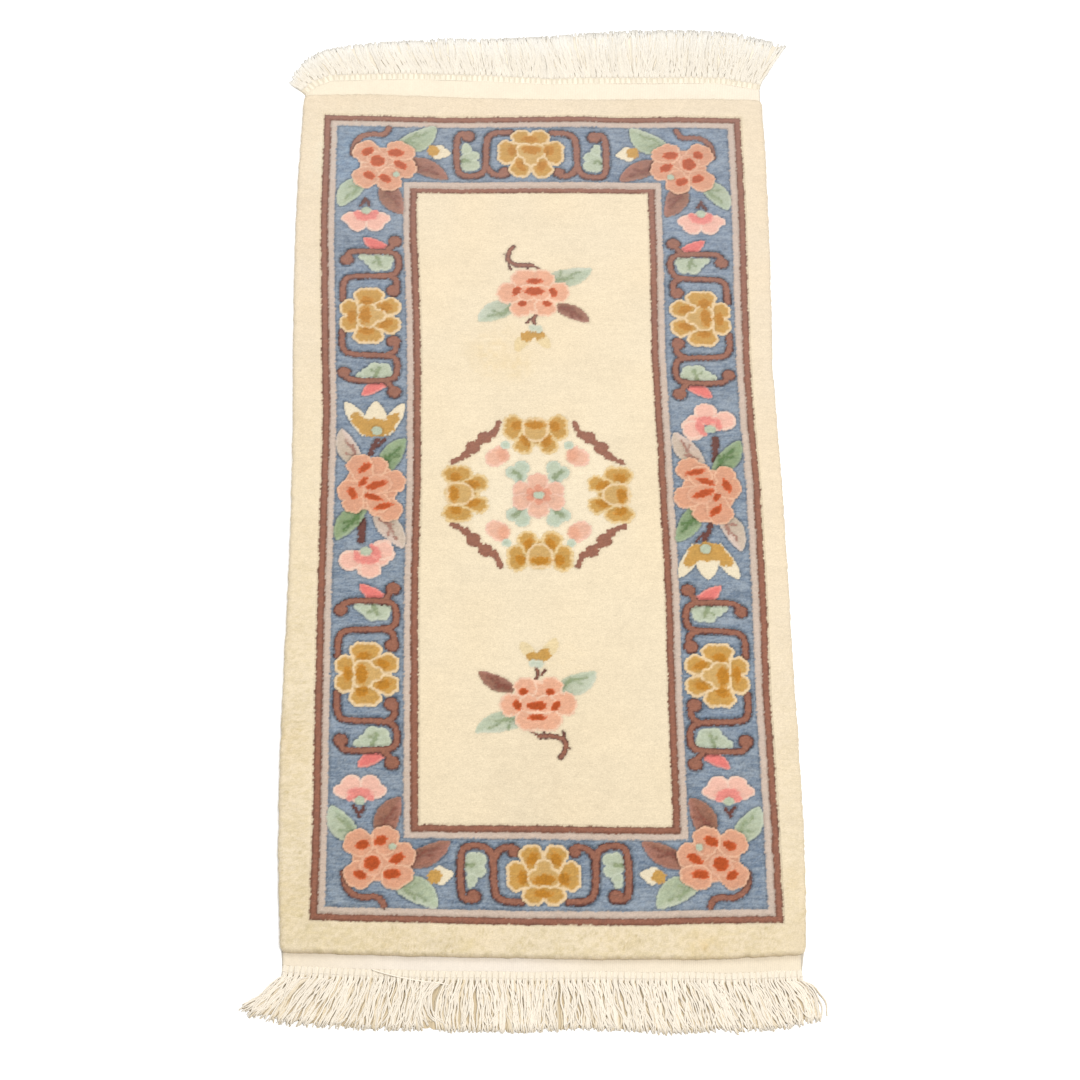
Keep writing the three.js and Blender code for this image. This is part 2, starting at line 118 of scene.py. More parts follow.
crossLines = {
    "x": [0, 90, 175, 260, 340, 400, 470, 551],
    "nearOut": [2, -0.2, -2.6, -4, -4.4, -3.9, -1.5, -0.6],
    "nearIn": [124, 124.8, 124.7, 124.4, 122.8, 122.6, 122.6, 123.6],
    "farIn": [1040, 1039.6, 1039, 1041.2, 1042, 1042, 1042, 1041],
    "farOut": [1165, 1163.7, 1162.5, 1165.2, 1167.5, 1165.3, 1168, 1167.4],
}

# the rolled edge of the pile, from the top down: how far in, and how high
rollSteps = [
    (6, 12.5), (4, 12.25), (2.4, 11.6), (1.2, 10.5), (0.5, 9.1), (0.1, 7.2), (0, 5), (0.5, 3),
    (1.4, 1.9),
]
margin = {"lines": 8, "inside": 9, "corner": 9.0}      # grid lines outside the stripes, corner radius


def knotLines(count, firstEdge, lastEdge):
    # grid lines along one side, with the roll step each belongs to, or -1
    step = knot / 2
    inner = np.arange(-3, 2 * count + 3) * step + step / 2
    outer = np.linspace(inner[0] - knot, firstEdge + margin["inside"], margin["lines"])
    after = np.linspace(inner[-1] + knot, lastEdge - margin["inside"], margin["lines"])
    rolls = [inset for inset, _ in rollSteps]
    lines = [firstEdge + inset for inset in rolls[::-1]] + list(outer[::-1]) + list(inner)
    lines += list(after) + [lastEdge - inset for inset in rolls]
    steps = np.full(len(lines), -1)
    steps[:len(rolls)], steps[-len(rolls):] = np.arange(len(rolls))[::-1], np.arange(len(rolls))
    return np.array(lines), steps, len(rolls) + len(outer)


def drawnIn(table, key, at):
    # a measured line, softened between its points
    span = np.linspace(-20, 20, 9)
    return np.mean([np.interp(at + s, table[list(table)[0]], table[key]) for s in span], axis=0)


edgeLeft, edgeRight, edgeNear, edgeFar = -36.0, wide + 31.5, -37.0, long + 33.5
columns, columnRoll, columnStart = knotLines(pileSizes["acrossKnots"], edgeLeft, edgeRight)
rows, rowRoll, rowStart = knotLines(pileSizes["alongKnots"], edgeNear, edgeFar)
chartX, chartY = np.meshgrid(columns, rows)

# where the roll of one side meets the roll of the other, the outer one leads
roll = np.maximum(columnRoll[None, :], rowRoll[:, None])
insets = np.array([inset for inset, _ in rollSteps])
leads = np.where(roll >= 0, insets[np.maximum(roll, 0)], 0.0)
insetX = np.maximum(np.minimum(chartX - edgeLeft, edgeRight - chartX), leads)
insetY = np.maximum(np.minimum(chartY - edgeNear, edgeFar - chartY), leads)
cornerX, cornerY = np.clip(margin["corner"] - insetX, 0, None), np.clip(margin["corner"] - insetY, 0, None)
reach, spread = np.maximum(cornerX, cornerY), np.hypot(cornerX, cornerY)
cornerShare = np.where(spread > 0, reach / np.maximum(spread, 1e-9), 1)
insetX = np.where(cornerX * cornerY > 0, margin["corner"] - cornerX * cornerShare, insetX)
insetY = np.where(cornerX * cornerY > 0, margin["corner"] - cornerY * cornerShare, insetY)
flatX = np.where(chartX < (edgeLeft + edgeRight) / 2, edgeLeft + insetX, edgeRight - insetX)
flatY = np.where(chartY < (edgeNear + edgeFar) / 2, edgeNear + insetY, edgeFar - insetY)


def warped(x, y):
    # chart places moved to where the drawn-in cloth has them
    nodesX = np.array([edgeLeft, 0, border, wide - border, wide, edgeRight])
    nodesY = np.array([edgeNear, 0, border, long - border, long, edgeFar])
    across = [drawnIn(table, key, y) for table, key in (
        (sideLines, "left"), (stripeLines, "outLeft"), (stripeLines, "inLeft"),
        (stripeLines, "inRight"), (stripeLines, "outRight"), (sideLines, "right"),
    )]
    along = [drawnIn(table, key, x) for table, key in (
        (endLines, "near"), (crossLines, "nearOut"), (crossLines, "nearIn"),
        (crossLines, "farIn"), (crossLines, "farOut"), (endLines, "far"),
    )]
    moved = []
    for place, nodes, lines in ((x, nodesX, across), (y, nodesY, along)):
        cell = np.clip(np.searchsorted(nodes, place) - 1, 0, len(nodes) - 2)
        share = (place - nodes[cell]) / (nodes[cell + 1] - nodes[cell])
        lines = np.stack(lines)
        low = np.take_along_axis(lines, cell[None], 0)[0]
        high = np.take_along_axis(lines, cell[None] + 1, 0)[0]
        moved.append(mix(low, high, share))
    return moved


planX, planY = warped(flatX, flatY)
knotX = (np.floor(flatX / knot) + 0.5) * knot
knotY = (np.floor(flatY / knot) + 0.5) * knot
steppedX, steppedY = warped(knotX, knotY)
colourX = mix(planX, steppedX, pileSizes["stepShare"])
colourY = mix(planY, steppedY, pileSizes["stepShare"])

# dyes as they look under the studio light, and how much of that is in the cloth
dyeShare = 0.605
dyes = {
    "cream": (246, 228, 195),
    "brown": (157, 105, 85),
    "brownDeep": (112, 70, 62),
    "pale": (213, 192, 175),
    "blue": (158, 169, 180),
    "blueDeep": (106, 122, 141),
    "coral": (223, 163, 131),
    "coralPale": (236, 178, 146),
    "coralPaleRim": (247, 207, 178),
    "coralRim": (240, 190, 157),
    "coralSoft": (234, 180, 149),
    "orange": (186, 82, 38),
    "orangeRim": (216, 104, 62),
    "yellow": (205, 158, 84),
    "yellowPale": (211, 171, 107),
    "yellowRim": (240, 211, 167),
    "straw": (239, 217, 171),
    "palestGreen": (204, 210, 187),
    "palestRim": (216, 218, 196),
    "tanRim": (236, 206, 152),
    "ochre": (193, 131, 44),
    "ochreRim": (206, 148, 70),
    "pink": (244, 192, 172),
    "pinkRim": (247, 211, 190),
    "salmon": (238, 187, 160),
    "salmonRim": (243, 197, 173),
    "salmonDeep": (229, 158, 130),
    "rose": (235, 144, 133),
    "roseRim": (244, 170, 155),
    "bud": (233, 128, 120),
    "budRim": (244, 158, 146),
    "paleGreen": (191, 199, 173),
    "paleGreenRim": (204, 211, 188),
    "green": (154, 172, 134),
    "greenRim": (167, 183, 151),
    "vein": (98, 126, 78),
    "paleVein": (150, 162, 126),
    "mauve": (169, 117, 100),
    "mauveRim": (181, 132, 116),
    "midrib": (138, 84, 70),
    "taupe": (222, 198, 182),
    "taupeRim": (230, 210, 196),
    "taupeVein": (170, 126, 110),
    "ivory": (242, 227, 196),
}
dyes = {name: linear(tone) for name, tone in dyes.items()}
# one row for each kind of patch:
# dye, rim dye, rim width, carved depth, raggedness, soft edge, sprinkled knots
patches = {
    "brownScroll": ("brown", "brownDeep", 2.4, 1.8, 0.7, 0.9, 0.6),
    "brownBar": ("brown", "brown", 1.0, 0.8, 1.0, 1.0, 0.7),
    "coralPetal": ("coral", "coralRim", 2.8, 1.2, 0.6, 1.0, 0.5),
    "palePetal": ("coralPale", "coralPaleRim", 3.4, 0.7, 0.7, 1.4, 0.7),
    "coralHeart": ("coral", "coralSoft", 3.2, 0.8, 0.7, 1.2, 0.6),
    "coralSpot": ("orange", "orangeRim", 1.6, 0.0, 1.0, 1.0, 0.7),
    "yellowPetal": ("yellow", "yellowRim", 4.6, 1.1, 0.6, 1.0, 0.4),
    "yellowHeart": ("yellowPale", "yellowRim", 4.6, 1.1, 0.6, 1.0, 0.4),
    "ochreSpot": ("ochre", "ochreRim", 1.6, 0.0, 1.3, 1.8, 1.1),
    "tanPetal": ("yellow", "tanRim", 4.6, 0.7, 0.9, 1.6, 0.9),
    "salmonPetal": ("salmon", "salmonRim", 3.0, 0.9, 0.6, 1.0, 0.5),
    "pinkPetal": ("pink", "pinkRim", 3.0, 1.0, 0.6, 1.0, 0.4),
    "roseHeart": ("rose", "roseRim", 2.0, 0.4, 0.8, 1.2, 0.7),
    "roseBud": ("bud", "budRim", 3.0, 1.2, 0.6, 1.0, 0.5),
    "softBud": ("salmon", "salmonRim", 4.0, 0.6, 0.9, 1.4, 1.0),
    "heartRing": ("salmonDeep", "salmon", 3.0, 0.4, 0.9, 1.8, 0.8),
    "paleLeaf": ("paleGreen", "paleGreenRim", 4.0, 1.2, 0.9, 1.0, 0.4),
    "paleVein": ("paleVein", "paleVein", 1.0, 0.3, 1.3, 2.4, 1.0),
    "fieldLeaf": ("palestGreen", "palestRim", 4.0, 0.6, 0.9, 1.2, 0.5),
    "fieldVein": ("paleVein", "paleVein", 1.0, 0.2, 1.1, 2.6, 0.9),
    "strawTip": ("straw", "straw", 2.0, 0.4, 1.0, 1.8, 0.8),
    "greenLeaf": ("green", "greenRim", 4.0, 1.3, 0.6, 1.0, 0.4),
    "greenVein": ("vein", "vein", 1.0, 0.4, 1.3, 2.6, 0.9),
    "mauveLeaf": ("mauve", "mauveRim", 3.5, 1.3, 0.6, 1.0, 0.4),
    "mauveVein": ("midrib", "midrib", 1.0, 0.4, 1.5, 2.8, 1.1),
    "taupeLeaf": ("taupe", "taupeRim", 3.0, 1.3, 0.6, 1.0, 0.4),
    "taupeVein": ("taupeVein", "taupeVein", 1.0, 0.3, 1.3, 2.0, 1.0),
    "calyx": ("paleGreen", "paleGreen", 2.0, 0.8, 0.6, 1.0, 0.4),
    "ivoryTip": ("ivory", "ivory", 2.0, 1.0, 0.6, 1.0, 0.4),
    "yellowBody": ("yellow", "yellow", 2.0, 0.3, 1.2, 1.6, 1.2),
    "twig": ("brown", "brownDeep", 2.0, 1.1, 0.8, 1.0, 0.5),
    "darkTwig": ("brownDeep", "brownDeep", 1.0, 1.1, 0.9, 1.2, 0.8),
}
carving = {
    "wide": 2.0, "foot": 0.7, "inner": 1.0, "innerShare": 0.35,     # the cut outside and inside an edge
    "shade": 0.72, "shadeOnPale": 0.13, "shadeWide": 1.5,
    "shadeAt": 0.8, "darkest": 1.5, "innerShade": 0.5,
}

knotTable = {"rows": 450, "columns": 240, "before": 20}      # a little more than the rug has
knotRow = np.floor(flatY / knot).astype(int) + knotTable["before"]
knotColumn = np.floor(flatX / knot).astype(int) + knotTable["before"]
rand = np.random.default_rng(5)
sprinkle = rand.uniform(-1, 1, (knotTable["rows"], knotTable["columns"]))[knotRow, knotColumn]
colour = np.zeros(planX.shape + (3,))
drop = np.zeros(planX.shape)            # how far the shears went below the top, in mm
gloom = np.zeros(planX.shape)           # how little light gets down there, 0 to 1


def lumps(size, seed, stretch=1.0):
    return cloud(planX, planY, size, seed, stretch)


def insideOf(inset):
    # how far inside the frame that lies this far in from the outer stripe's edge
    return np.minimum.reduce([chartX - inset, wide - inset - chartX, chartY - inset, long - inset - chartY])


grain = 0.6 * lumps(2.7, 11) + 0.55 * lumps(1.6, 12)
ground = {
    "teeth": 0.75,         # how far single rows of knots stand out at a stripe's edge
    "wander": 0.5,
    "softEdge": 1.1,
    "columnShare": 0.7,    # of the teeth, along the sides
    "darkBlue": 0.42, "streaked": 0.62,
    # brown stripes that came out wider or narrower, in mm: left, right, near, far
    "outerMore": (0.7, 0, 0, 0),
    "innerMore": (0.8, 0.3, 0.4, -2.0),
    "grooves": ((0, 2.0, 0), (1, 1.8, 0), (2, 1.3, 0.9)),      # stripes passed, depth, how far beside
    "grooveWide": 1.3,
    "darkest": 2.2,
}


def over(dye, inside):
    cover = np.clip(inside / ground["softEdge"] + 0.5, 0, 1)[..., None]
    colour[:] = mix(colour, dye, cover)


def layGround():
    rowTeeth = rand.uniform(-1, 1, knotTable["rows"])[knotRow] * ground["teeth"]
    columnTeeth = rand.uniform(-1, 1, knotTable["columns"])[knotColumn] * ground["teeth"]
    columnTeeth *= ground["columnShare"]
    fine = 0.5 * lumps(1.45, 23) + 0.35 * sprinkle
    atX = chartX + rowTeeth + ground["wander"] * lumps(12, 21) + fine
    atY = chartY + columnTeeth + ground["wander"] * lumps(12, 22) + fine
    sides = np.stack([atX, wide - atX, atY, long - atY])
    more = lambda key: np.array(ground[key])[:, None, None]
    out, field = sides.min(axis=0), sides.min(axis=0) - border
    # the blue is streaked along the knot rows
    streaks = 0.35 * lumps(13, 31, 1.8) + 0.62 * lumps(1.7, 32, 5.0)
    streaks += 0.4 * lumps(1.45, 33, 1.3) + 0.35 * rand.uniform(-1, 1, planX.shape)
    deep = np.clip(ground["darkBlue"] + ground["streaked"] * streaks, 0, 1)
    blue = mix(dyes["blue"], dyes["blueDeep"], deep[..., None])
    colour[:] = dyes["cream"]
    over(dyes["brown"], out)
    over(dyes["pale"], (sides - more("outerMore")).min(axis=0) - stripeWide)
    over(blue, out - 2 * stripeWide)
    over(dyes["pale"], field + 2 * stripeWide)
    over(dyes["brown"], (sides + more("innerMore")).min(axis=0) - border + stripeWide)
    over(dyes["cream"], field)
    exactOut, exactField = insideOf(0), insideOf(border)
    for passed, deep, aside in ground["grooves"]:
        for line in (exactOut - passed * stripeWide - aside, exactField + passed * stripeWide + aside):
            groove = np.exp(-((line / ground["grooveWide"]) ** 2))
            drop[:] = np.maximum(drop, deep * groove)
            gloom[:] = np.maximum(gloom, deep / ground["darkest"] * groove)


# shapes in mm, above 0 inside
def disc(x, y, radius):
    return lambda u, v: radius - np.hypot(u - x, v - y)


def oval(x, y, halfWide, halfLong, turn=0.0):
    c, s = math.cos(math.radians(turn)), math.sin(math.radians(turn))

    def shape(u, v):
        p, q = (u - x) * c + (v - y) * s, (v - y) * c - (u - x) * s
        return (1 - np.hypot(p / halfWide, q / halfLong)) * min(halfWide, halfLong)

    return shape


def leaf(x0, y0, x1, y1, across, foot=0.5, belly=0.4, curl=0.0):
    length = math.hypot(x1 - x0, y1 - y0)
    ux, uy = (x1 - x0) / length, (y1 - y0) / length

    def shape(u, v):
        p = (u - x0) * ux + (v - y0) * uy
        t = np.clip(p / length, 0, 1)
        q = (v - y0) * ux - (u - x0) * uy - curl * (t ** 3 - t)      # the tip curls aside
        low = foot + (1 - foot) * np.sin(np.clip(t / belly, 0, 1) * math.pi / 2)
        high = np.cos(np.clip((t - belly) / (1 - belly), 0, 1) * math.pi / 2) ** 0.62
        half = across / 2 * np.where(t < belly, low, high)
        return np.minimum(half - np.abs(q), np.minimum(p + 1, length - p))

    return shape


def nearest(u, v, line):
    best = np.full(np.shape(u), 1e9)
    for (ax, ay), (bx, by) in zip(line, line[1:]):
        dx, dy = bx - ax, by - ay
        t = np.clip(((u - ax) * dx + (v - ay) * dy) / (dx * dx + dy * dy), 0, 1)
        best = np.minimum(best, np.hypot(u - ax - t * dx, v - ay - t * dy))
    return best


def rounded(line):
    # corners cut twice, ends kept
    for _ in range(2):
        cut = [line[0]]
        for (ax, ay), (bx, by) in zip(line, line[1:]):
            cut += [(mix(ax, bx, 0.25), mix(ay, by, 0.25)), (mix(ax, bx, 0.75), mix(ay, by, 0.75))]
        line = cut + [line[-1]]
    return line


def stem(across, *line):
    turned = rounded(list(line)) if len(line) > 2 else line
    return lambda u, v: across / 2 - nearest(u, v, turned)


def together(*shapes):
    # a plain x, y, radius is a disc
    shapes = [disc(*shape) if isinstance(shape, tuple) else shape for shape in shapes]
    return lambda u, v: np.maximum.reduce([shape(u, v) for shape in shapes])


# a peony petal: a round foot with three scallops on its outer side
scallops = {"foot": 0.92, "lobe": 0.56, "out": 0.53, "apart": 46}


def petal(x, y, radius, way=None):
    if way is None:
        return disc(x, y, radius)
    parts = [disc(x, y, radius * scallops["foot"])]
    for side in (-1, 0, 1):
        angle = math.radians(way + side * scallops["apart"])
        lobeX, lobeY = (radius * scallops["out"] * part for part in (math.cos(angle), math.sin(angle)))
        parts.append(disc(x + lobeX, y + lobeY, radius * scallops["lobe"]))
    return together(*parts)


def lay(kind, *shapes, share=1.0):
    # knots one patch over what is there, and carves round it; the brush has the motif's own places,
    # as dyed and as carved, and its window of the chart
    dye, rim, rimWide, deep, ragged, soft, sprinkled = patches[kind]
    deep = deep * share
    shape = together(*shapes)
    u, v, s, t, window = brush
    depth = shape(u, v) + ragged * grain[window] + sprinkled * sprinkle[window]
    cover = np.clip(depth / soft + 0.5, 0, 1)[..., None]
    look = mix(dyes[rim], dyes[dye], ease(1.6 * depth / rimWide - 0.6)[..., None])
    colour[window] = mix(colour[window], look, cover)
    if deep:
        exact = shape(s, t)
        cutIn = deep * carving["innerShare"] * np.exp(-np.clip(exact, 0, None) / carving["inner"])
        cutOut = deep * np.clip(1 + (exact + carving["foot"]) / carving["wide"], 0, 1)
        drop[window] = np.where(exact > 0, cutIn, np.maximum(drop[window], cutOut))
        dark = min(1.0, deep / carving["darkest"])
        darkOut = dark * np.exp(-(((exact + carving["shadeAt"]) / carving["shadeWide"]) ** 2))
        darkIn = carving["innerShade"] * dark * np.exp(-np.clip(exact, 0, None) / carving["shadeAt"])
        gloom[window] = np.where(exact > 0, darkIn, np.maximum(gloom[window], darkOut))


def toned(cover, tone, window=...):
    # multiplied by a tone where cover is 1
    colour[window] *= mix(1.0, np.array(tone), cover[..., None])


def tint(shape, tone, soft, fade=None):
    u, v, _, _, window = brush
    cover = np.clip((shape(u, v) + 1.2 * grain[window]) / soft + 0.5, 0, 1)
    if fade:
        cover = cover * fade(u, v)
    toned(cover, tone, window)


# petals, from the lowest up, each a list of parts knotted as one: x, y, radius, and the way it points,
# or no way for a plain disc; spots: x, y, half width, half height, lean
cornerPeony = {
    "core": (1, 1, 31),
    "petals": [
        [(-20, -20, 19, 225)], [(-21, 18, 18.5, 140)], [(26, 3, 17.5, 10), (17, 8, 13)],
        [(8, 23, 17.5, 80), (9, 14, 12)],
        [(19, -23, 16.5, 280), (28, -21, 13.5, 330)], [(-7, -8, 14.5, 250)],
    ],
    "spots": [
        (-18, 17, 8.5, 6.5, 30), (3, 22, 9, 6.5, 28), (23, -1, 10, 6, 32), (17, -21, 10.5, 6.5, 5),
        (-20, -22, 8, 6, -35), (-7, -7, 9.5, 9.5, 0),
    ],
}
# the yellow one points up the rug; on the sides it is turned
yellowPeony = {
    "core": (0, -1, 32),
    "petals": [
        [(-11.5, -24, 14.5, 250), (11.5, -24, 14.5, 290), (0, -18, 14)],
        [(-30, 5, 13.5, 160), (-30, -8, 13.5, 200), (-20, -2, 16)],
        [(30, 5, 13.5, 20), (30, -8, 13.5, -20), (20, -2, 16)],
        [(-13.5, 23.5, 15.5, 115), (-11, 13, 12)], [(14, 23.5, 15.5, 65), (11, 13, 12)],
        [(-7, -4, 13.5), (8, -4, 13.5), (0.5, 9, 11.5, 90), (0, 2, 13.5)],
    ],
    "spots": [
        (-1, -23.5, 12, 5.5, 0), (-25, -4, 6, 9.5, 0), (24, -5, 7.5, 8.5, 20), (-13.5, 20, 10.5, 6, 62),
        (14.5, 20, 10.5, 6.5, 115),
        (0.5, -6.5, 14, 7.5, 0),
    ],
}
middlePeony = {
    "core": (2, 0, 34),
    "petals": [
        [(-22, -7, 17, 170), (-19, -24, 14, 235)], [(8, 28, 14.5, 70)],
        [(-11, 28, 17.5, 120), (-9, 18, 14)],
        [(27, 7, 17, 10), (20, 3, 13)], [(23, -32, 17.5, 310), (12, -29, 15)],
        [(10, -22, 16, 300)],
        [(6, 1, 15.5, 30), (16, 4, 12)],
    ],
    "spots": [
        (-6, 27, 10.5, 5, 47), (-8, 6.5, 8, 4.5, 55), (8, 2, 15, 5.5, 22), (-22, -10, 5.5, 10, 25),
        (5, -16, 12, 4.5, -17),
        (17, -29, 12.5, 4.5, 14),
    ],
}
sprayPeony = {
    "core": (0, 3, 33),
    "petals": [
        [(-15, -19, 15, 250), (0, -14, 14)], [(15, -18, 15, 290)], [(-28, 2, 17.5, 180)],
        [(30, 4, 16.5, 0)],
        [(-11, 22, 16.5, 120), (12, 22, 16.5, 60), (0, 26, 12)], [(-7, 3, 14, 200), (9, 3, 14, 340)],
    ],
    "spots": [
        (2, 21, 11.5, 4.5, 2), (-21, 5, 8, 5, 55), (26, 4, 5, 8, 25), (-14, -14, 6, 5, 20),
        (18, -14, 5.5, 5, 10),
        (2, 5, 12.5, 6.5, 0),
    ],
}
crown = {
    "core": (0, 1, 22),
    "petals": [
        [(27, 12, 13.5, 30), (28, 1, 13.5)], [(-27, 12, 13.5, 150), (-28, 1, 13.5)],
        [(15, -18, 13.5, 290), (12, -8, 11)], [(-15, -18, 13.5, 250), (-12, -8, 11)],
        [(0, 2, 16.5), (-6, 10, 11.5), (6, 10, 11.5)],
    ],
    "spots": [
        (24.5, 9, 6.5, 8, 20), (-24.5, 9, 6.5, 8, -20), (14, -14, 9, 5.5, 65), (-14, -14, 9, 5.5, 115),
        (0, 10.5, 12, 6.5, 0),
    ],
}


def peony(kinds, form, x, y, turn=0):
    c, s = math.cos(math.radians(turn)), math.sin(math.radians(turn))
    petals = [
        together(*[
            petal(x + px * c - py * s, y + px * s + py * c, r, *[way + turn for way in ways])
            for px, py, r, *ways in group
        ])
        for group in form["petals"]
    ]
    px, py, r = form["core"]
    lay(kinds[0], disc(x + px * c - py * s, y + px * s + py * c, r), *petals)
    for one in petals[:-1]:
        lay(kinds[0], one, share=0.3)
    lay(kinds[2], petals[-1], share=0.4)
    for px, py, a, b, lean in form["spots"]:
        lay(kinds[1], oval(x + px * c - py * s, y + px * s + py * c, a, b, lean + turn))


# outer petals, spots, heart petal
paleCoralKinds = ("palePetal", "coralSpot", "palePetal")
coralKinds = ("coralPetal", "coralSpot", "coralHeart")
yellowKinds = ("yellowPetal", "ochreSpot", "yellowHeart")
tanKinds = ("tanPetal", "ochreSpot", "yellowHeart")


def leafWithVein(kind, x0, y0, x1, y1, across, curl=0.0, shade=1, veinWide=4.4, bend=0.05):
    # one half of the leaf is a little deeper; the vein is widest near the foot
    outline = leaf(x0, y0, x1, y1, across, curl=curl)
    lay(kind + "Leaf", outline)
    ux, uy = x1 - x0, y1 - y0
    length = math.hypot(ux, uy)
    at = lambda t, side: (x0 + ux * t - uy * side, y0 + uy * t + ux * side)
    half = lambda u, v: np.minimum(outline(u, v), shade * ((v - y0) * ux - (u - x0) * uy) / length)
    tint(half, (0.89, 0.92, 0.87), 3.5)
    footward = lambda u, v: np.clip(1.1 - 1.4 * ((u - x0) * ux + (v - y0) * uy) / length ** 2, 0, 1)
    tint(outline, (0.84, 0.84, 0.79), 1.5, footward)
    low = stem(veinWide, at(0.12, 0), at(0.3, bend), at(0.45, bend))
    high = stem(veinWide * 0.66, at(0.42, bend), at(0.6, 0.01), at(0.72, 0.0))
    ribs = [
        stem(veinWide * 0.55, at(t, bend), at(t + 0.14, side))
        for t, side in ((0.24, 0.15), (0.4, -0.1))
    ]
    lay(kind + "Vein", low, high, *ribs)


def cornerSpray():
    lay("twig", stem(9, (38, 62), (39, 47), (47, 35), (60, 30), (73, 32), (81, 29), (85, 20)))
    leafWithVein("pale", 50, 104, 21, 149, 29, curl=-8, shade=-1, bend=-0.08)
    leafWithVein("mauve", 81, 108, 103.5, 161, 30, curl=-10)
    leafWithVein("pale", 99, 53, 147, 17, 33, curl=-14, bend=-0.06)
    leafWithVein("mauve", 112, 73, 162.5, 103, 27, curl=6)
    lay("ivoryTip", leaf(140, 58, 167, 61, 18), (150, 64, 7), (152, 54, 7))
    lay("yellowBody", oval(144, 57, 8.5, 9))
    peony(coralKinds, cornerPeony, 77.5, 81.5)
    lay("calyx", (95, 96, 4.5))


def endScroll():
    lay(
        "paleLeaf",
        (189, 80, 9.5), (196, 79, 9.5), (189, 70, 10.5), (196, 65, 9),
        (188, 55, 7.5), (187, 48, 5),
    )
    lay("paleVein", stem(5.5, (182, 73), (187, 71), (190, 73)))
    lay(
        "brownScroll",
        stem(
            10, (191, 30), (180, 27), (174.5, 37), (174.5, 88), (182, 98), (203, 97), (213.5, 86),
            (213.5, 38), (222, 26), (246, 25),
        ),
        stem(10, (213, 80), (222, 95), (238, 96), (239, 88)),
        (190, 32, 9.5), (238, 90, 8.5),
    )


def sideSprays():
    lay(
        "darkTwig", stem(4.5, (55, 136), (54, 141), (49, 148)),
        stem(4.5, (55, 139), (59, 142), (60, 147)),
    )
    lay(
        "pinkPetal", (38, 169, 11), (74, 169, 11), (46, 178, 12), (67, 178, 12),
        (56, 164, 12),
    )
    lay("pinkPetal", (45, 177, 12.5), (37, 169, 10), (31, 169, 7), share=0.4)
    lay("pinkPetal", (68, 177, 12.5), (75, 169, 10), (81, 169, 7), share=0.4)
    lay("roseHeart", oval(56, 165, 15.5, 8.5), (44.5, 160, 5), (68, 160, 5))
    lay("calyx", (56, 156, 6))
    lay("roseBud", leaf(80, 218, 53, 200, 17, foot=0.85, curl=4), (72, 213, 8))
    lay(
        "paleLeaf",
        (53, 232, 6), (62, 236, 9), (70, 244, 10.5), (80, 243, 10.5), (84, 235, 9),
        (72, 234, 8),
    )
    lay("paleVein", stem(5, (70, 230), (73, 237), (75, 245)), stem(3, (73, 237), (66, 241)))
    lay(
        "brownScroll",
        stem(
            9.5, (31, 237), (34, 223), (48, 222), (88, 223), (99, 229), (99, 252), (90, 262), (38, 262),
            (27, 270), (27, 300),
        ),
        stem(9.5, (88, 262), (97, 268), (96, 285)),
        stem(9.5, (84, 221), (90, 214), (95, 206)),
        (32, 236, 9.5), (92, 285, 9.5), (94, 206, 9.5),
    )
    lay(
        "paleLeaf",
        (51, 419, 5.5), (60, 415, 8.5), (69, 408, 9.5), (80, 410, 10.5),
        (84, 416, 8.5), (72, 417, 8),
    )
    lay("paleVein", stem(5, (70, 421), (72, 414), (75, 408)), stem(3, (72, 414), (64, 410)))
    lay("roseBud", leaf(80, 430, 53, 450, 17, foot=0.85, curl=-4), (71, 436, 8))
    lay(
        "brownScroll",
        stem(
            9.5, (27, 350), (27, 378), (38, 387), (88, 387), (98, 395), (98, 418), (88, 427), (36, 427),
            (30, 414),
        ),
        stem(9.5, (84, 387), (96, 381), (95, 364)),
        stem(9.5, (85, 428), (90, 437), (94, 444)),
        (30, 414, 9), (93, 365, 9.5), (94, 444, 9.5),
    )
    peony(yellowKinds, yellowPeony, 62.5, 325.5, -90)


def endPeony():
    peony(yellowKinds, yellowPeony, 272.5, 59.5)


def sideMiddle():
    lay(
        "darkTwig", stem(7, (64, 636), (68, 648), (74, 659)),
        stem(4, (74, 650), (79, 655), (83, 660)),
    )
    lay("darkTwig", stem(9.5, (55, 542), (54.5, 525), (54, 512)))
    leafWithVein("green", 80, 612, 108, 661, 27, curl=-6, shade=-1, veinWide=6)
    leafWithVein("green", 55, 560, 23, 513, 27, curl=8, shade=-1, veinWide=6)
    leafWithVein("taupe", 49, 620, 27.5, 674, 26, curl=-8, bend=-0.06)
    leafWithVein("taupe", 74, 548, 106, 502, 28, curl=-8, bend=0.06)
    lay(
        "ivoryTip",
        leaf(61, 669, 32, 714, 21, foot=0.9), leaf(71, 665, 71, 715, 30, foot=0.9),
        leaf(82, 669, 107, 713, 19, foot=0.9),
        (71, 681, 16),
    )
    lay(
        "yellowBody",
        oval(49, 686, 8.5, 12, 30), oval(58, 677, 10.5, 13, 25), oval(92, 687, 7.5, 12, -25),
        oval(84, 677, 10.5, 13, -25),
        oval(71, 676, 15, 14),
    )
    lay("calyx", (72.5, 671.5, 6.8))
    lay(
        "pinkPetal",
        (80, 499, 14), (87, 492, 9), (78, 487, 12), (41, 484, 14.5), (52, 488, 11),
        (64, 474, 15), (57, 481, 12),
        (84, 507, 7),
    )
    for x, y, r, way in ((80, 497, 14, 20), (42, 484, 14, 200), (65, 473, 14, 280)):
        lay("pinkPetal", petal(x, y, r, way), share=0.4)
    lay(
        "roseHeart", oval(63, 484, 14, 6.5, -5), oval(49, 489, 5, 9, 10),
        oval(72, 495, 6.5, 11.5, 22), (67, 504.5, 3.5),
    )
    lay("calyx", oval(60, 497, 7.5, 6.2))
    peony(coralKinds, middlePeony, 64, 590)


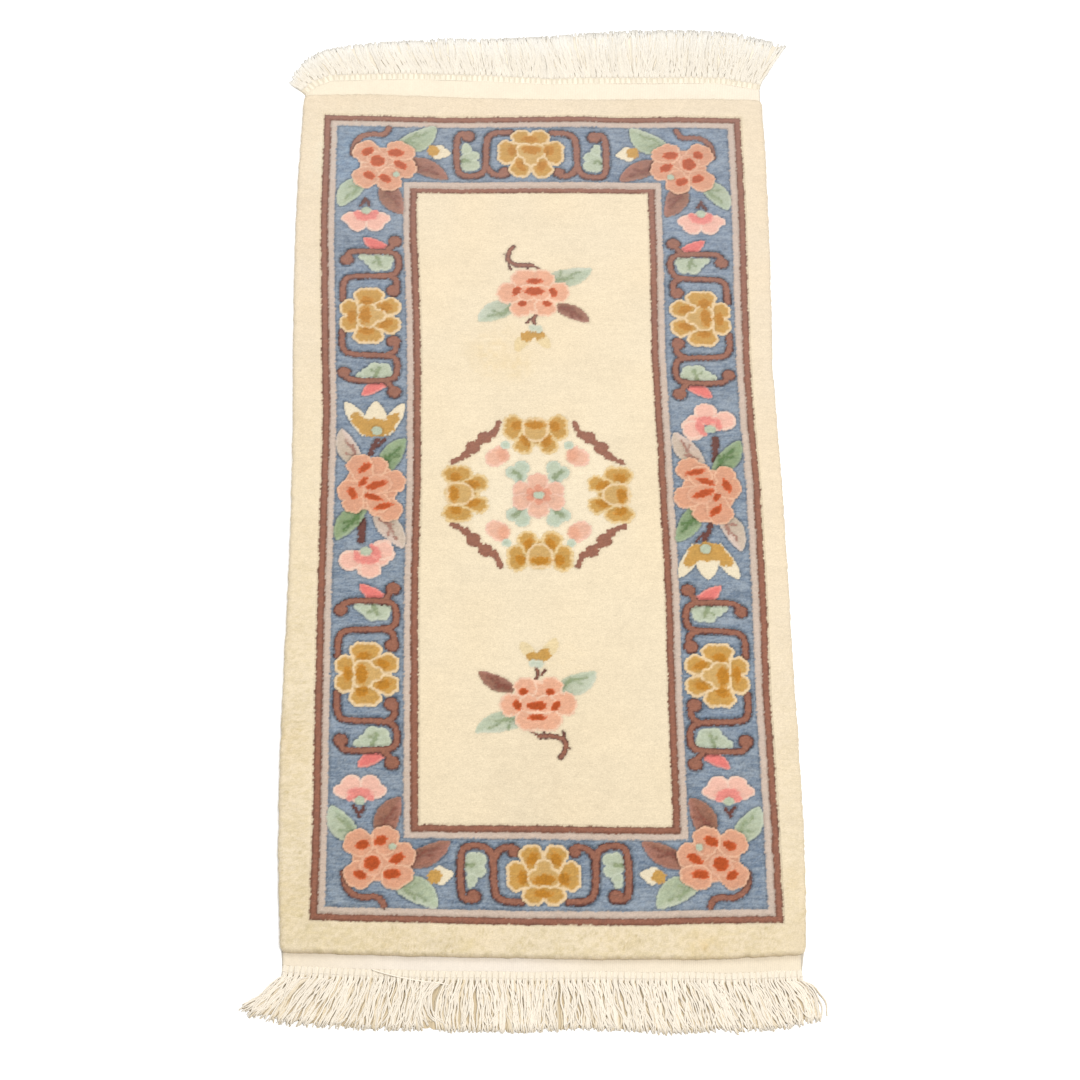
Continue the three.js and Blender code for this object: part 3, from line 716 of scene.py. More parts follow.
def fieldSpray():
    lay(
        "twig",
        stem(7, (247, 954), (241, 946), (240, 932), (252, 925), (272, 926)),
        stem(4, (272, 926), (285, 916)),
        stem(3.5, (242, 930), (243, 920)), stem(3.5, (266, 926), (266, 918)),
        stem(3.5, (241, 940), (236, 942)),
    )
    lay("twig", stem(5, (276, 850), (271, 841), (274, 832)), stem(3.5, (268, 842), (264, 836)))
    lay("strawTip", leaf(264, 816, 249, 792, 17, curl=4), leaf(276, 818, 292, 797, 16, curl=-4))
    lay("yellowBody", oval(264, 815, 8.5, 8, 20), oval(278, 818, 8.5, 7, -20), (271, 821, 7))
    lay("fieldLeaf", (271, 828, 6), (278, 827, 5.5))
    leafWithVein("field", 290, 902, 349, 921, 28, curl=12, shade=-1, bend=-0.08)
    leafWithVein("field", 247, 864, 201, 839, 29, curl=8, shade=1, bend=0.1)
    leafWithVein("mauve", 303, 863, 344, 838, 21, curl=-7, veinWide=5)
    peony(paleCoralKinds, sprayPeony, 272, 880)


def medallionQuarter():
    lay(
        "brownBar",
        stem(7.5, (48, 104), (51, 94), (56, 87)), stem(8.5, (55, 87), (68, 80), (82, 66), (88, 58)),
        stem(7.5, (88, 58), (97, 50), (107, 46)), (66, 82, 9), (81, 67, 9.5), (56, 87, 6),
        (90, 56, 6),
    )
    lay("softBud", (49, 55, 13), (53, 52, 13), (47, 61, 9))
    tint(oval(43, 56, 8, 10, -25), (0.95, 0.82, 0.76), 5)
    lay("paleLeaf", (20, 38, 10), (31, 31, 9.5), (23, 26, 10), (24, 18, 5))
    lay("paleVein", stem(5, (21, 22), (24, 28), (30, 32)))
    lay("paleLeaf", (40, 71, 6), share=0.5)


heartPetals = [
    (-19, 8, 12.5, 160), (-19, -8, 12.5, 200), (20, 8, 12.5, 20), (20, -8, 12.5, -20), (0, 18, 14, 90),
    (0, -17, 14, 270),
]


def medallionMiddle():
    petals = [petal(274 + x, 578 + y, r, way) for x, y, r, way in heartPetals]
    lay("salmonPetal", (274, 578, 14), *petals)
    for one in petals:
        lay("salmonPetal", one, share=0.4)
    lay("heartRing", *[disc(274.5 + x * 0.52, 579 + y * 0.52, 7.5) for x, y, _, _ in heartPetals])
    lay("calyx", (273, 579, 5), (277, 579, 5))


def medallionCrowns():
    for x, y, turn in ((272.5, 671, 0), (180, 580, 90), (275, 495, 180), (368, 580, -90)):
        peony(tanKinds, crown, x, y, turn)


mirrors = {"y": 1164, "farFrom": 80, "farPacked": 0.973}


def packedY(y):
    far = mirrors["farFrom"]
    return np.where(y < far, y, far + (y - far) * mirrors["farPacked"])


def unpackedY(y):
    far = mirrors["farFrom"]
    return np.where(y < far, y, far + (y - far) / mirrors["farPacked"])


def asIs(x, y):
    return x, y


# each repeat: own place to plan, and plan to own place
farRepeat = (lambda x, y: (x, mirrors["y"] - packedY(y)), lambda x, y: (x, unpackedY(mirrors["y"] - y)))


def quarters(sumX):
    across = lambda x, y: (sumX - x, y)
    return [
        (asIs, asIs), (across, across), farRepeat,
        (lambda x, y: across(*farRepeat[0](x, y)), lambda x, y: across(*farRepeat[1](x, y))),
    ]


def halfTurn(sumX, sumY):
    return [(asIs, asIs), (lambda x, y: (sumX - x, sumY - y),) * 2]


def flips(x, y):
    return [
        (lambda u, v, a=a, b=b: (x + a * u, y + b * v), lambda u, v, a=a, b=b: ((u - x) * a, (v - y) * b))
        for a in (1, -1) for b in (1, -1)
    ]


# each motif: how it is knotted, its box in its own place, and where it is repeated
motifs = [
    (cornerSpray, (15, 15, 172, 168), quarters(552)),
    (endScroll, (162, 15, 260, 108), quarters(547)),
    (sideSprays, (15, 125, 110, 462), quarters(550.5)),
    (endPeony, (220, 10, 326, 114), [(asIs, asIs), farRepeat]),
    (sideMiddle, (15, 450, 115, 722), halfTurn(553, 1174.5)),
    (fieldSpray, (195, 783, 355, 962), halfTurn(542, 1168)),
    (medallionQuarter, (8, 10, 115, 115), flips(274, 581)),
    (medallionMiddle, (236, 538, 314, 620), [(asIs, asIs)]),
    (medallionCrowns, (144, 454, 406, 712), [(asIs, asIs)]),
]
layGround()
for knotted, (x0, y0, x1, y1), places in motifs:
    for toPlan, toOwn in places:
        ends = [toPlan(x0, y0), toPlan(x1, y1)]
        lowX, highX = sorted(float(end[0]) for end in ends)
        lowY, highY = sorted(float(end[1]) for end in ends)
        window = (
            slice(np.searchsorted(rows, lowY - 8), np.searchsorted(rows, highY + 8)),
            slice(np.searchsorted(columns, lowX - 8), np.searchsorted(columns, highX + 8)),
        )
        brush = (*toOwn(colourX[window], colourY[window]), *toOwn(planX[window], planY[window]), window)
        knotted()
print("chart knotted", colour.shape)

# uneven shearing, dye lots, soiling, painted shade in the grooves that the light doesn't reach, and painted
# light on the near edge and towards the far end
wearAndPaintedLight = {
    "lowered": 0.35, "uneven": 0.3, "tuft": 0.12, "clump": 0.2, "wobble": 0.4,      # in mm
    "mottle": 0.03, "streak": 0.07, "speck": 0.018, "darkSpeck": 0.17,
    "row": 0.02, "hue": (0.006, -0.003, -0.018), "yarnHue": (0.05, 0.0, -0.06),
    "marginDirt": (0.9, 0.89, 0.82), "marginDots": (0.84, 0.82, 0.73), "marginSoft": 6,
    "calmRight": 0.6,       # the right margin stayed cleaner
    "reach": 500,           # along the rug, from where the near end's wear gives way to the far end's
    # painted light along the rug: darker at the near end, lighter at the far end, where the light fell
    # stronger
    "paintedLightAlong": ([-60, 0, 400, 900, 1200], [0.94, 0.96, 0.995, 1.03, 1.035]),      # along the rug
    # painted light: the near edge's rolled side lightened, as if lit from the front
    "paintedEdgeLight": 0.35, "edgeWide": 7,
    # painted haze of the brighter light at the far end: share of it, tone
    "paintedFarHaze": ([500, 1165], [0, 0.075], (0.93, 0.9, 0.86)),
    "farTint": (1.0, 1.0, 1.02), "farMarginTint": (1.0, 1.0, 1.04),
    "smoother": ([0, 350, 1165], [1.25, 1.0, 0.45]),      # the near end is rougher, along the rug
    "medallion": (274, 581, 96, (1.03, 1.045, 1.07)),
    # x, y, radius, strength, tint multiplied in
    "stains": [
        (455, -28, 22, 0.6, (0.93, 0.88, 0.74)), (458, -31, 5, 0.7, (0.8, 0.7, 0.48)),
        (183, -30, 9, 0.6, (0.92, 0.9, 0.72)), (-30, 235, 26, 0.6, (0.95, 0.91, 0.82)),
        (561, 60, 16, 0.5, (0.94, 0.9, 0.8)), (222, 790, 36, 0.7, (0.97, 0.92, 0.8)),
        (250, 772, 20, 0.5, (0.96, 0.9, 0.74)), (300, 345, 30, 0.4, (0.97, 0.94, 0.88)),
        (40, -26, 60, 0.5, (0.95, 0.94, 0.85)), (-25, 20, 40, 0.5, (0.95, 0.94, 0.85)),
        # the last two entries lighten and cool the far corners
        (275, 175, 105, 0.65, (0.92, 0.91, 0.9)), (55, 1100, 55, 0.9, (1.06, 1.2, 1.28)),
        (470, 1110, 45, 0.6, (0.96, 1.04, 1.12)),
    ],
}
for x, y, radius, strength, tone in wearAndPaintedLight["stains"]:
    near = np.exp(-((np.hypot(planX - x, planY - y) / radius) ** 2))
    near *= strength * (0.7 + 0.6 * lumps(6, int(x) % 97 + 40))
    toned(near, tone)
x, y, radius, tone = wearAndPaintedLight["medallion"]
# only its pale dyes
toned(ease((radius - np.hypot(planX - x, planY - y)) / 14 + 0.5) * (colour[..., 2] > 0.4), tone)
outside = np.clip(-insideOf(0) / wearAndPaintedLight["marginSoft"], 0, 1)
calmRight = np.where(chartX > wide, wearAndPaintedLight["calmRight"], 1.0)
rough = np.interp(planY, *wearAndPaintedLight["smoother"]) * calmRight
# the dirt is mostly near, and goes on further along the left
nearness = np.clip(1.1 - planY / wearAndPaintedLight["reach"], 0.15, 1) * calmRight
nearness = np.where(chartX < 0, np.clip(1.45 - planY / wearAndPaintedLight["reach"], 0.2, 1), nearness)
dirt = 0.4 + 0.95 * lumps(3.2, 54, 1.5) + 0.55 * lumps(1.7, 66) + 0.28 * lumps(20, 55)
toned(outside * nearness * np.clip(dirt, 0, 1), wearAndPaintedLight["marginDirt"])
dots = np.clip(2.4 * lumps(1.5, 67) - 1.0, 0, 1) * np.clip(0.5 + lumps(22, 68), 0, 1)
toned(dots * outside * nearness, wearAndPaintedLight["marginDots"])
# painted haze: the darker dyes paled towards the far end, where the light was brighter
along, paintedFarHaze, farHazeTone = wearAndPaintedLight["paintedFarHaze"]
farHazeShare = np.interp(planY, along, paintedFarHaze) * np.clip(1.3 - colour.mean(axis=-1) / 0.6, 0, 1)
colour = mix(colour, np.array(farHazeTone), farHazeShare[..., None])
toned(ease((planY - wearAndPaintedLight["reach"]) / wearAndPaintedLight["reach"]), wearAndPaintedLight["farTint"])
toned(outside * ease((planY + planX - wearAndPaintedLight["reach"]) / wearAndPaintedLight["reach"]), wearAndPaintedLight["farMarginTint"])
mottleAndPaintedLight = 1 + wearAndPaintedLight["mottle"] * (
    0.6 * lumps(38, 51) + 0.5 * lumps(11, 52) + 0.6 * lumps(4, 53, 1.4)
)
# the darker dyes are streaked
mottleAndPaintedLight *= 1 + wearAndPaintedLight["streak"] * (0.25 + 0.75 * (colour[..., 2] < 0.45)) * lumps(1.45, 56, 4)
paleness = np.clip(colour.mean(axis=-1) / 0.72, 0, 1)
specks = mix(wearAndPaintedLight["darkSpeck"], wearAndPaintedLight["speck"], paleness) * rough
mottleAndPaintedLight *= 1 + specks * (0.75 * rand.uniform(-1, 1, planX.shape) + 0.45 * sprinkle)
mottleAndPaintedLight *= 1 + wearAndPaintedLight["row"] * lumps(2.9, 58, 12)
# painted light along the rug, from the table above
mottleAndPaintedLight *= np.interp(planY, wearAndPaintedLight["paintedLightAlong"][0], wearAndPaintedLight["paintedLightAlong"][1])
colour *= mottleAndPaintedLight[..., None]
colour *= 1 + np.array(wearAndPaintedLight["hue"]) * lumps(55, 59)[..., None]
colour *= 1 + np.array(wearAndPaintedLight["yarnHue"]) * ((1 - paleness) * lumps(2.4, 60, 1.6))[..., None]
# painted light: the near edge's rolled side is lightened, as if lit from the front
edgeLightShare = np.interp(roll, [-1, len(rollSteps) - 1], [0, 1]) * (chartY < edgeNear + wearAndPaintedLight["edgeWide"])
colour *= (1 + wearAndPaintedLight["paintedEdgeLight"] * edgeLightShare ** 1.5)[..., None]
shading = mix(carving["shade"], carving["shadeOnPale"], paleness)
colour *= (1 - shading * gloom * (1 + 0.4 * lumps(3, 57)))[..., None]

top = pileSizes["top"] - wearAndPaintedLight["lowered"] - drop
top += wearAndPaintedLight["uneven"] * (0.6 * lumps(45, 61) + 0.4 * lumps(12, 62))
top += wearAndPaintedLight["clump"] * lumps(4.5, 63)
top += wearAndPaintedLight["tuft"] * rough * rand.uniform(-1, 1, planX.shape)
rollHigh = np.array([high for _, high in rollSteps])[np.maximum(roll, 0)]
high = np.where(roll >= 0, np.minimum(rollHigh, top + 0.2), top)
edgeRough = 0.5 * lumps(3.2, 64) + 0.35 * rand.uniform(-1, 1, planX.shape)
high = np.where((roll >= 0) & (roll < 7), high + edgeRough, high)
shift = wearAndPaintedLight["wobble"] * np.where(roll >= 0, 2.0, 1.0)
wobbleX = shift * (0.7 * lumps(9, 71) + 0.6 * lumps(3.2, 72))
wobbleY = shift * (0.7 * lumps(9, 73) + 0.6 * lumps(3.2, 74))
pilePlaces = toFrame(planX + wobbleX, planY + wobbleY, np.clip(high, 1.2, pileSizes["top"] + 0.3))


def gridPiece(name, places, tones):
    # a bmesh grid moved onto the given places, with its dyes in an attribute
    down, across = places.shape[0] - 1, places.shape[1] - 1
    bm = bmesh.new()
    bmesh.ops.create_grid(bm, x_segments=across, y_segments=down, size=1.0)
    mesh = bpy.data.meshes.new(name)
    bm.to_mesh(mesh)
    bm.free()
    flat = np.zeros(len(mesh.vertices) * 3, np.float32)
    mesh.vertices.foreach_get("co", flat)
    flat = flat.reshape(-1, 3)
    i = np.rint((flat[:, 0] + 1) / 2 * across).astype(int)
    j = np.rint((flat[:, 1] + 1) / 2 * down).astype(int)
    mesh.vertices.foreach_set("co", places[j, i].astype(np.float32).ravel())
    return dyedPiece(mesh, tones[j, i])


def dyedPiece(mesh, tones):
    dye = mesh.color_attributes.new("dye", "FLOAT_COLOR", "POINT")
    rgba = np.ones((len(mesh.vertices), 4), np.float32)
    rgba[:, :3] = tones
    dye.data.foreach_set("color", rgba.ravel())
    mesh.polygons.foreach_set("use_smooth", np.ones(len(mesh.polygons), bool))
    mesh.update()
    piece = bpy.data.objects.new(mesh.name, mesh)
    scene.collection.objects.link(piece)
    return piece


def triangles(piece):
    return sum(len(face.vertices) - 2 for face in piece.data.polygons)


def addNode(tree, kind, sockets, **settings):
    # a shader node with its settings made, its values set and its links drawn
    node = tree.nodes.new(kind)
    for name, value in settings.items():
        setattr(node, name, value)
    for name, value in sockets.items():
        if isinstance(value, bpy.types.NodeSocket):
            tree.links.new(value, node.inputs[name])
        else:
            node.inputs[name].default_value = value
    return node


def bumpNode(tree, look, high, deep, before):
    # a bump on top of the one before it
    sockets = {"Strength": look["bump"], "Distance": deep, "Height": high}
    if before:
        sockets["Normal"] = before
    return addNode(tree, "ShaderNodeBump", sockets).outputs["Normal"]


def fibreMaterial(name, look):
    # dye from the mesh, with fibres in its colour and its bump
    made = bpy.data.materials.new(name)
    made.use_nodes = True
    tree = made.node_tree
    shader = tree.nodes["Principled BSDF"]
    shader.inputs["Roughness"].default_value = look["roughness"]
    shader.inputs["Specular IOR Level"].default_value = look["specular"]
    shader.inputs["Sheen Weight"].default_value = look["sheen"]
    shader.inputs["Sheen Roughness"].default_value = 0.5
    place = addNode(tree, "ShaderNodeTexCoord", {}).outputs["Object"]
    shade = addNode(tree, "ShaderNodeAttribute", {}, attribute_name="dye").outputs["Color"]
    normal = None
    for scale, low, high, deep in look["fibres"]:
        stretch = addNode(tree, "ShaderNodeMapping", {"Scale": scale, "Vector": place})
        fibre = addNode(tree, "ShaderNodeTexNoise", {
            "Scale": 1.0, "Detail": 2, "Roughness": 0.6, "Vector": stretch.outputs["Vector"],
        }).outputs["Fac"]
        fleck = addNode(tree, "ShaderNodeMapRange", {
            "From Min": 0.3, "From Max": 0.7, "To Min": low, "To Max": high, "Value": fibre,
        })
        sockets = {"Vector": shade, "Scale": fleck.outputs["Result"]}
        shade = addNode(tree, "ShaderNodeVectorMath", sockets, operation="SCALE").outputs["Vector"]
        normal = bumpNode(tree, look, fibre, deep, normal)
    if "twist" in look:
        run = addNode(tree, "ShaderNodeUVMap", {}, uv_map="run")
        bands = addNode(
            tree, "ShaderNodeTexWave", {"Scale": look["twist"], "Vector": run.outputs["UV"]},
            wave_type="BANDS", bands_direction="DIAGONAL",
        )
        normal = bumpNode(tree, look, bands.outputs["Fac"], look["twistDeep"], normal)
    tree.links.new(shade, shader.inputs["Base Color"])
    tree.links.new(normal, shader.inputs["Normal"])
    return made


# scale of the fibres along each way, darkest and lightest share, depth of the bump
woolLook = {
    "roughness": 0.93, "specular": 0.12, "sheen": 0.1, "bump": 0.5,
    "fibres": [
        ((640, 640, 500), 0.91, 1.08, 0.0006), ((330, 560, 300), 0.94, 1.06, 0.0006),
        ((1700, 1700, 900), 0.95, 1.045, 0.0003),
    ],
}
weaveLook = {
    "roughness": 0.9, "specular": 0.2, "sheen": 0.08, "bump": 0.5,
    "fibres": [((360, 900, 400), 0.95, 1.04, 0.0004), ((1400, 500, 600), 0.97, 1.03, 0.0003)],
}
yarnLook = {
    "roughness": 0.85, "specular": 0.2, "sheen": 0.1, "bump": 0.6, "twist": 0.42, "twistDeep": 0.0004,
    "fibres": [((1500, 1500, 1500), 0.93, 1.05, 0.0003)],
}
wool = fibreMaterial("cutWool", woolLook)
weave = fibreMaterial("cottonWeave", weaveLook)
yarn = fibreMaterial("cottonYarn", yarnLook)

# the pile is one chart, cut into pieces along the stripes and across the plain field
lastColumn, lastRow = len(columns) - 1, len(rows) - 1
left, nearLine = columnStart + 1, rowStart + 1
inLeft, inNear = (line + 4 + 2 * pileSizes["borderKnots"] for line in (left, nearLine))
right, inRight = lastColumn - left, lastColumn - inLeft
farLine, inFar = lastRow - nearLine, lastRow - inNear
third = (inFar - inNear) // 3
blocks = {
    "pileMarginNear": (0, lastColumn, 0, nearLine),
    "pileMarginFar": (0, lastColumn, farLine, lastRow),
    "pileMarginLeft": (0, left, nearLine, farLine),
    "pileMarginRight": (right, lastColumn, nearLine, farLine),
    "pileBorderLeft": (left, inLeft, nearLine, farLine),
    "pileBorderRight": (inRight, right, nearLine, farLine),
    "pileBorderNear": (inLeft, inRight, nearLine, inNear),
    "pileBorderFar": (inLeft, inRight, inFar, farLine),
    "pileFieldNear": (inLeft, inRight, inNear, inNear + third),
    "pileFieldMiddle": (inLeft, inRight, inNear + third, inFar - third),
    "pileFieldFar": (inLeft, inRight, inFar - third, inFar),
}
for name, (firstColumn, endColumn, firstRow, endRow) in blocks.items():
    block = (slice(firstRow, endRow + 1), slice(firstColumn, endColumn + 1))
    piece = gridPiece(name, pilePlaces[block], colour[block] * dyeShare)
    piece.data.materials.append(wool)
    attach(piece, "root")
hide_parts("carpet")

# the flat-woven strips between the pile and the knots
webEnds = {
    "near": {
        "x": [-32, 20, 70, 116, 162, 208, 254, 300, 346, 392, 438, 484, 530, 572],
        "y": [-51.5, -54.5, -56.3, -57.8, -58.8, -58.8, -59.8, -59, -58.8, -60.3, -59.3, -61, -58.8, -57],
    },
    "far": {
        "x": [-27, -12, 8, 65, 112, 160, 207, 254, 300, 347, 395, 440, 488, 532, 583],
        "y": [
            1205, 1220, 1229, 1232, 1233.5, 1232.7, 1231.5, 1229.5, 1227.5, 1229.4, 1230.4, 1231,
            1232.5, 1232, 1222,
        ],
    },
}
webSizes = {
    "thick": 2.6, "rib": 2.3, "ribHigh": 0.2, "lap": 12,
    "share": {"near": 0.605, "far": 0.65},      # how bright the dye comes out
    # along the strip: x, and what its dye is there
    "dye": {
        "near": [
            (-30, (249, 234, 209)), (110, (250, 238, 222)), (240, (250, 238, 222)),
            (340, (248, 234, 211)), (570, (248, 233, 207)),
        ],
        "far": [(-30, (252, 240, 216)), (300, (252, 239, 216)), (570, (253, 241, 221))],
    },
    # share of the way out to the knots, and how far the surface has dropped
    "profile": [
        (0, 0), (0.3, 0), (0.42, 0.1), (0.5, 0), (0.58, 0.12), (0.66, 0), (0.74, 0.1), (0.82, 0),
        (0.88, 0.2),
        (0.92, 0), (0.97, 0.25), (1, 0.6), (1, 2.6),
    ],
}


def webPiece(end):
    line = webEnds[end]
    first, last = line["x"][0], line["x"][-1]
    x = np.append(np.arange(first, last, webSizes["rib"] / 3), last)
    edge = np.interp(x, line["x"], line["y"])
    outward = -1 if end == "near" else 1
    root = drawnIn(endLines, end, x) - outward * webSizes["lap"]
    spots, tones = [], []
    at, dyed = zip(*webSizes["dye"][end])
    parts = [(at, [dye[part] for dye in dyed]) for part in range(3)]
    for share, dropped in webSizes["profile"]:
        y = mix(root, edge, share)
        clear = 0.35 + 0.65 * ease((x - first) / (last - first))
        rib = webSizes["ribHigh"] * clear * np.cos(2 * math.pi * x / webSizes["rib"])
        z = webSizes["thick"] - dropped + rib + 0.35 * cloud(x, y, 24, 81) + 0.12 * cloud(x, y, 4, 84)
        z = np.where(dropped > 2, 0.1, z)
        z = np.minimum(z, np.interp(np.minimum(x - first, last - x), [0, 0.9, 4], [0.2, 1.8, 3.0]))
        spots.append(toFrame(x, y, z))
        tone = linear(np.stack([np.interp(x, *part) for part in parts], axis=-1))
        tone *= (1 + 0.02 * cloud(x, y, 30, 82) + 0.02 * cloud(x, y, 5, 83))[:, None]
        # painted light and shade on the ribs: crests a little lighter, hollows a little darker
        tones.append(tone * (1 + 0.05 * clear * np.sign(rib) * (np.abs(rib) > 0.02))[:, None])
    spots, tones = np.array(spots), np.array(tones)
    if end == "near":
        spots, tones = spots[::-1], tones[::-1]
    return gridPiece("web" + end.capitalize(), spots, tones * webSizes["share"][end])


for end in ("near", "far"):
    piece = webPiece(end)
    piece.data.materials.append(weave)
    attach(piece, "root")

# the woven back: one closed thin sheet under the pile and the webs
backShape = {"thick": 1.6, "clear": 1.5, "acrossSteps": 24, "alongSteps": 48, "dye": (238, 226, 205)}


def backPiece():
    share = np.linspace(0, 1, backShape["acrossSteps"] + 1)
    levels = [None] + list(np.linspace(-30, 1195, backShape["alongSteps"] - 1)) + [None]
    places = []
    for k, level in enumerate(levels):
        if level is None:
            line = webEnds["near" if k == 0 else "far"]
            x = mix(line["x"][0] + 0.3, line["x"][-1] - 0.3, share)
            y = np.interp(x, line["x"], line["y"]) + (0.3 if k == 0 else -0.3)
        else:
            low = drawnIn(sideLines, "left", level) + backShape["clear"]
            x = mix(low, drawnIn(sideLines, "right", level) - backShape["clear"], share)
            y = np.full(share.shape, level)
        places.append(toFrame(x, y, np.full(share.shape, backShape["thick"])))
    places = np.array(places)
    tones = np.broadcast_to(linear(backShape["dye"]), places.shape)
    piece = gridPiece("wovenBack", places, tones * dyeShare)
    bm = bmesh.new()
    bm.from_mesh(piece.data)
    made = bmesh.ops.extrude_face_region(bm, geom=bm.faces[:])
    for vert in made["geom"]:
        if isinstance(vert, bmesh.types.BMVert):
            vert.co.z = 0
    bmesh.ops.recalc_face_normals(bm, faces=bm.faces[:])
    bm.to_mesh(piece.data)
    bm.free()
    return piece


wovenBack = backPiece()
wovenBack.data.materials.append(weave)
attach(wovenBack, "root")
print("webs and back woven")

# the fringe: yarns gathered in a tied knot for each lock, then loose over a bed of lower ones;
# held: out from the web, share of the lock's width, height; share: how bright the dye comes out
fringe = {
    "locks": 87, "sides": 5, "bends": 10,
    # the low tone, the bed tone and speck paint shade under and between the yarns; the far tips tone paints
    # light
    "near": {
        "share": 0.708, "held": [(7.5, 0.5, 2.0), (11, 0.52, 2.3), (13.5, 0.56, 2.5)],
        "yarns": 9, "thick": 2.25, "dye": (251, 240, 222), "low": (0.84, 0.78, 0.65), "pileUp": 2.2,
        "paintedBedShade": (0.66, 0.59, 0.46), "bedHigh": 1.1, "speckHigh": 1.3, "knotLift": 0.1, "tips": (1, 1, 1),
        "knotBed": (0.95, 0.93, 0.88), "speck": 0.8, "wave": (0.08, 0.32), "even": (0.965, 1.012),
    },
    "far": {
        "share": 0.68, "held": [(7.5, 0.6, 2.2), (11, 0.66, 2.5), (13.5, 0.74, 2.7)],
        "yarns": 8, "thick": 2.8, "dye": (253, 244, 228), "low": (0.99, 0.98, 0.955), "pileUp": 0.6,
        "paintedBedShade": (0.98, 0.96, 0.91), "bedHigh": 2.1, "speckHigh": 2.3, "knotBed": (1.0, 0.97, 0.91),
        "speck": 0.25,
        "knotLift": 0.65, "tips": (1.03, 1.07, 1.14), "wave": (0.05, 0.2), "even": (0.985, 1.005),
    },
    "bedHeld": [(-1.5, 1, 1.9), (3, 1, 2.3), (9.5, 1, 2.2), (12, 1, 2), (14, 1, 2)],
    "bedRibs": 4, "bedBends": 9, "ribHigh": 0.3,
    "spread": 7.0,          # width of a lock where it leaves the web
    "fan": 9.5,             # and at its tip
    "stray": 0.1,           # share of yarns that cross the others
    "sinks": (2.9, 1.2),    # height at the knots and on the floor
    # how far the locks and yarns differ, in degrees
    "turned": {"lock": 2.5, "alike": 3.2},
    "bowed": {"lock": 9, "alike": 13, "yarn": 10},
    "rootDiffers": {"yarn": 4.0, "stray": 12}, "tipDiffers": {"yarn": 7, "stray": 16},
    # share along the heading, bow in degrees
    "curls": {"near": [(0.285, 50), (0.297, 80), (0.31, 60), (0.05, 45)], "far": [(0.28, -28), (0.62, 25)]},
    # one loose warp end lies across the near knots
    "thread": [
        (70, -56, 3.2), (80, -60, 4.2), (95, -64.5, 4.4), (115, -69.5, 4.4), (135, -72.5, 4.4),
        (152, -74, 4.3), (162, -77, 3.8),
    ],
}
# along the heading: share passed, lean in degrees at the root and at the tip, length
lies = {
    "near": [
        (0, -44, -54, 78), (0.06, -35, -44, 82), (0.14, -20, -30, 78), (0.24, -9, -17, 76),
        (0.29, -14, -2, 75),
        (0.34, -8, 1, 76), (0.44, 0, 2, 76), (0.56, 7, 3, 73), (0.66, 13, 8, 76), (0.73, 9, 17, 79),
        (0.84, 29, 19, 77), (0.91, 34, 12, 75), (0.95, 50, 0, 73), (1, 54, -18, 68),
    ],
    "far": [
        (0, -38, -26, 28), (0.05, -33, -24, 46), (0.1, -27, -20, 58), (0.18, -24, -18, 64),
        (0.3, -19, -10, 70),
        (0.42, -12, -4, 73), (0.55, -15, -8, 82), (0.66, -8, -2, 87), (0.75, 4, 2, 91), (0.86, 6, 9, 90),
        (0.94, 19, 15, 88), (1, 34, 19, 85),
    ],
}


def heading(end, share):
    # places along the web's edge and the way straight out from it
    x, y = np.array(webEnds[end]["x"], float), np.array(webEnds[end]["y"], float)
    along = np.concatenate([[0], np.cumsum(np.hypot(np.diff(x), np.diff(y)))])
    at = share * along[-1]
    slope = np.arctan2(
        np.interp(at + 6, along, y) - np.interp(at - 6, along, y),
        np.interp(at + 6, along, x) - np.interp(at - 6, along, x),
    )
    out = -1 if end == "near" else 1
    return np.interp(at, along, x), np.interp(at, along, y), slope + out * math.pi / 2


def tubes(name, paths, radii, tones, sides):
    # one joined mesh of yarns: paths is yarns by bends by 3, in plan millimetres
    count, bends, _ = paths.shape
    ahead = np.gradient(paths, axis=1)
    ahead /= np.linalg.norm(ahead, axis=2, keepdims=True) + 1e-9
    side = np.cross(ahead, [0, 0, 1.0])
    side /= np.linalg.norm(side, axis=2, keepdims=True) + 1e-9
    up = np.cross(side, ahead)
    angles = np.arange(sides) / sides * 2 * math.pi
    ring = np.cos(angles)[:, None] * side[:, :, None] + np.sin(angles)[:, None] * up[:, :, None]
    rings = paths[:, :, None] + radii[:, :, None, None] * ring
    places = rings.reshape(-1, 3)
    first = (np.arange(count) * bends * sides)[:, None, None]
    k, m = np.arange(bends - 1)[None, :, None], np.arange(sides)[None, None, :]
    n = (m + 1) % sides
    corners = [
        first + k * sides + m, first + k * sides + n, first + (k + 1) * sides + n,
        first + (k + 1) * sides + m,
    ]
    faces = np.stack(np.broadcast_arrays(*corners), axis=-1).reshape(-1, 4).tolist()
    caps = first[:, 0, 0]
    faces += [tuple(c + sides - 1 - q for q in range(sides)) for c in caps]
    faces += [tuple(c + (bends - 1) * sides + q for q in range(sides)) for c in caps]
    mesh = bpy.data.meshes.new(name)
    mesh.from_pydata(toFrame(places[:, 0], places[:, 1], places[:, 2]).tolist(), [], faces)
    # UV runs along the yarn and once around it
    strides = np.linalg.norm(np.diff(paths, axis=1), axis=2)
    passed = np.concatenate([np.zeros((count, 1)), np.cumsum(strides, axis=1)], axis=1)
    run = mesh.uv_layers.new(name="run")
    runs = np.zeros((len(mesh.loops), 2), np.float32)
    quads = count * (bends - 1) * sides
    low = np.broadcast_to(passed[:, :-1, None], (count, bends - 1, sides)).ravel()
    high = np.broadcast_to(passed[:, 1:, None], (count, bends - 1, sides)).ravel()
    around = np.broadcast_to(m, (count, bends - 1, sides)).ravel() / sides
    runs[:quads * 4, 0] = np.stack([low, low, high, high], axis=-1).ravel()
    runs[:quads * 4, 1] = np.stack([around, around + 1 / sides, around + 1 / sides, around], axis=-1).ravel()
    run.data.foreach_set("uv", runs.ravel())
    tones = np.broadcast_to(tones.reshape(count, -1, 1, 3), (count, bends, sides, 3))
    return dyedPiece(mesh, tones.reshape(-1, 3))


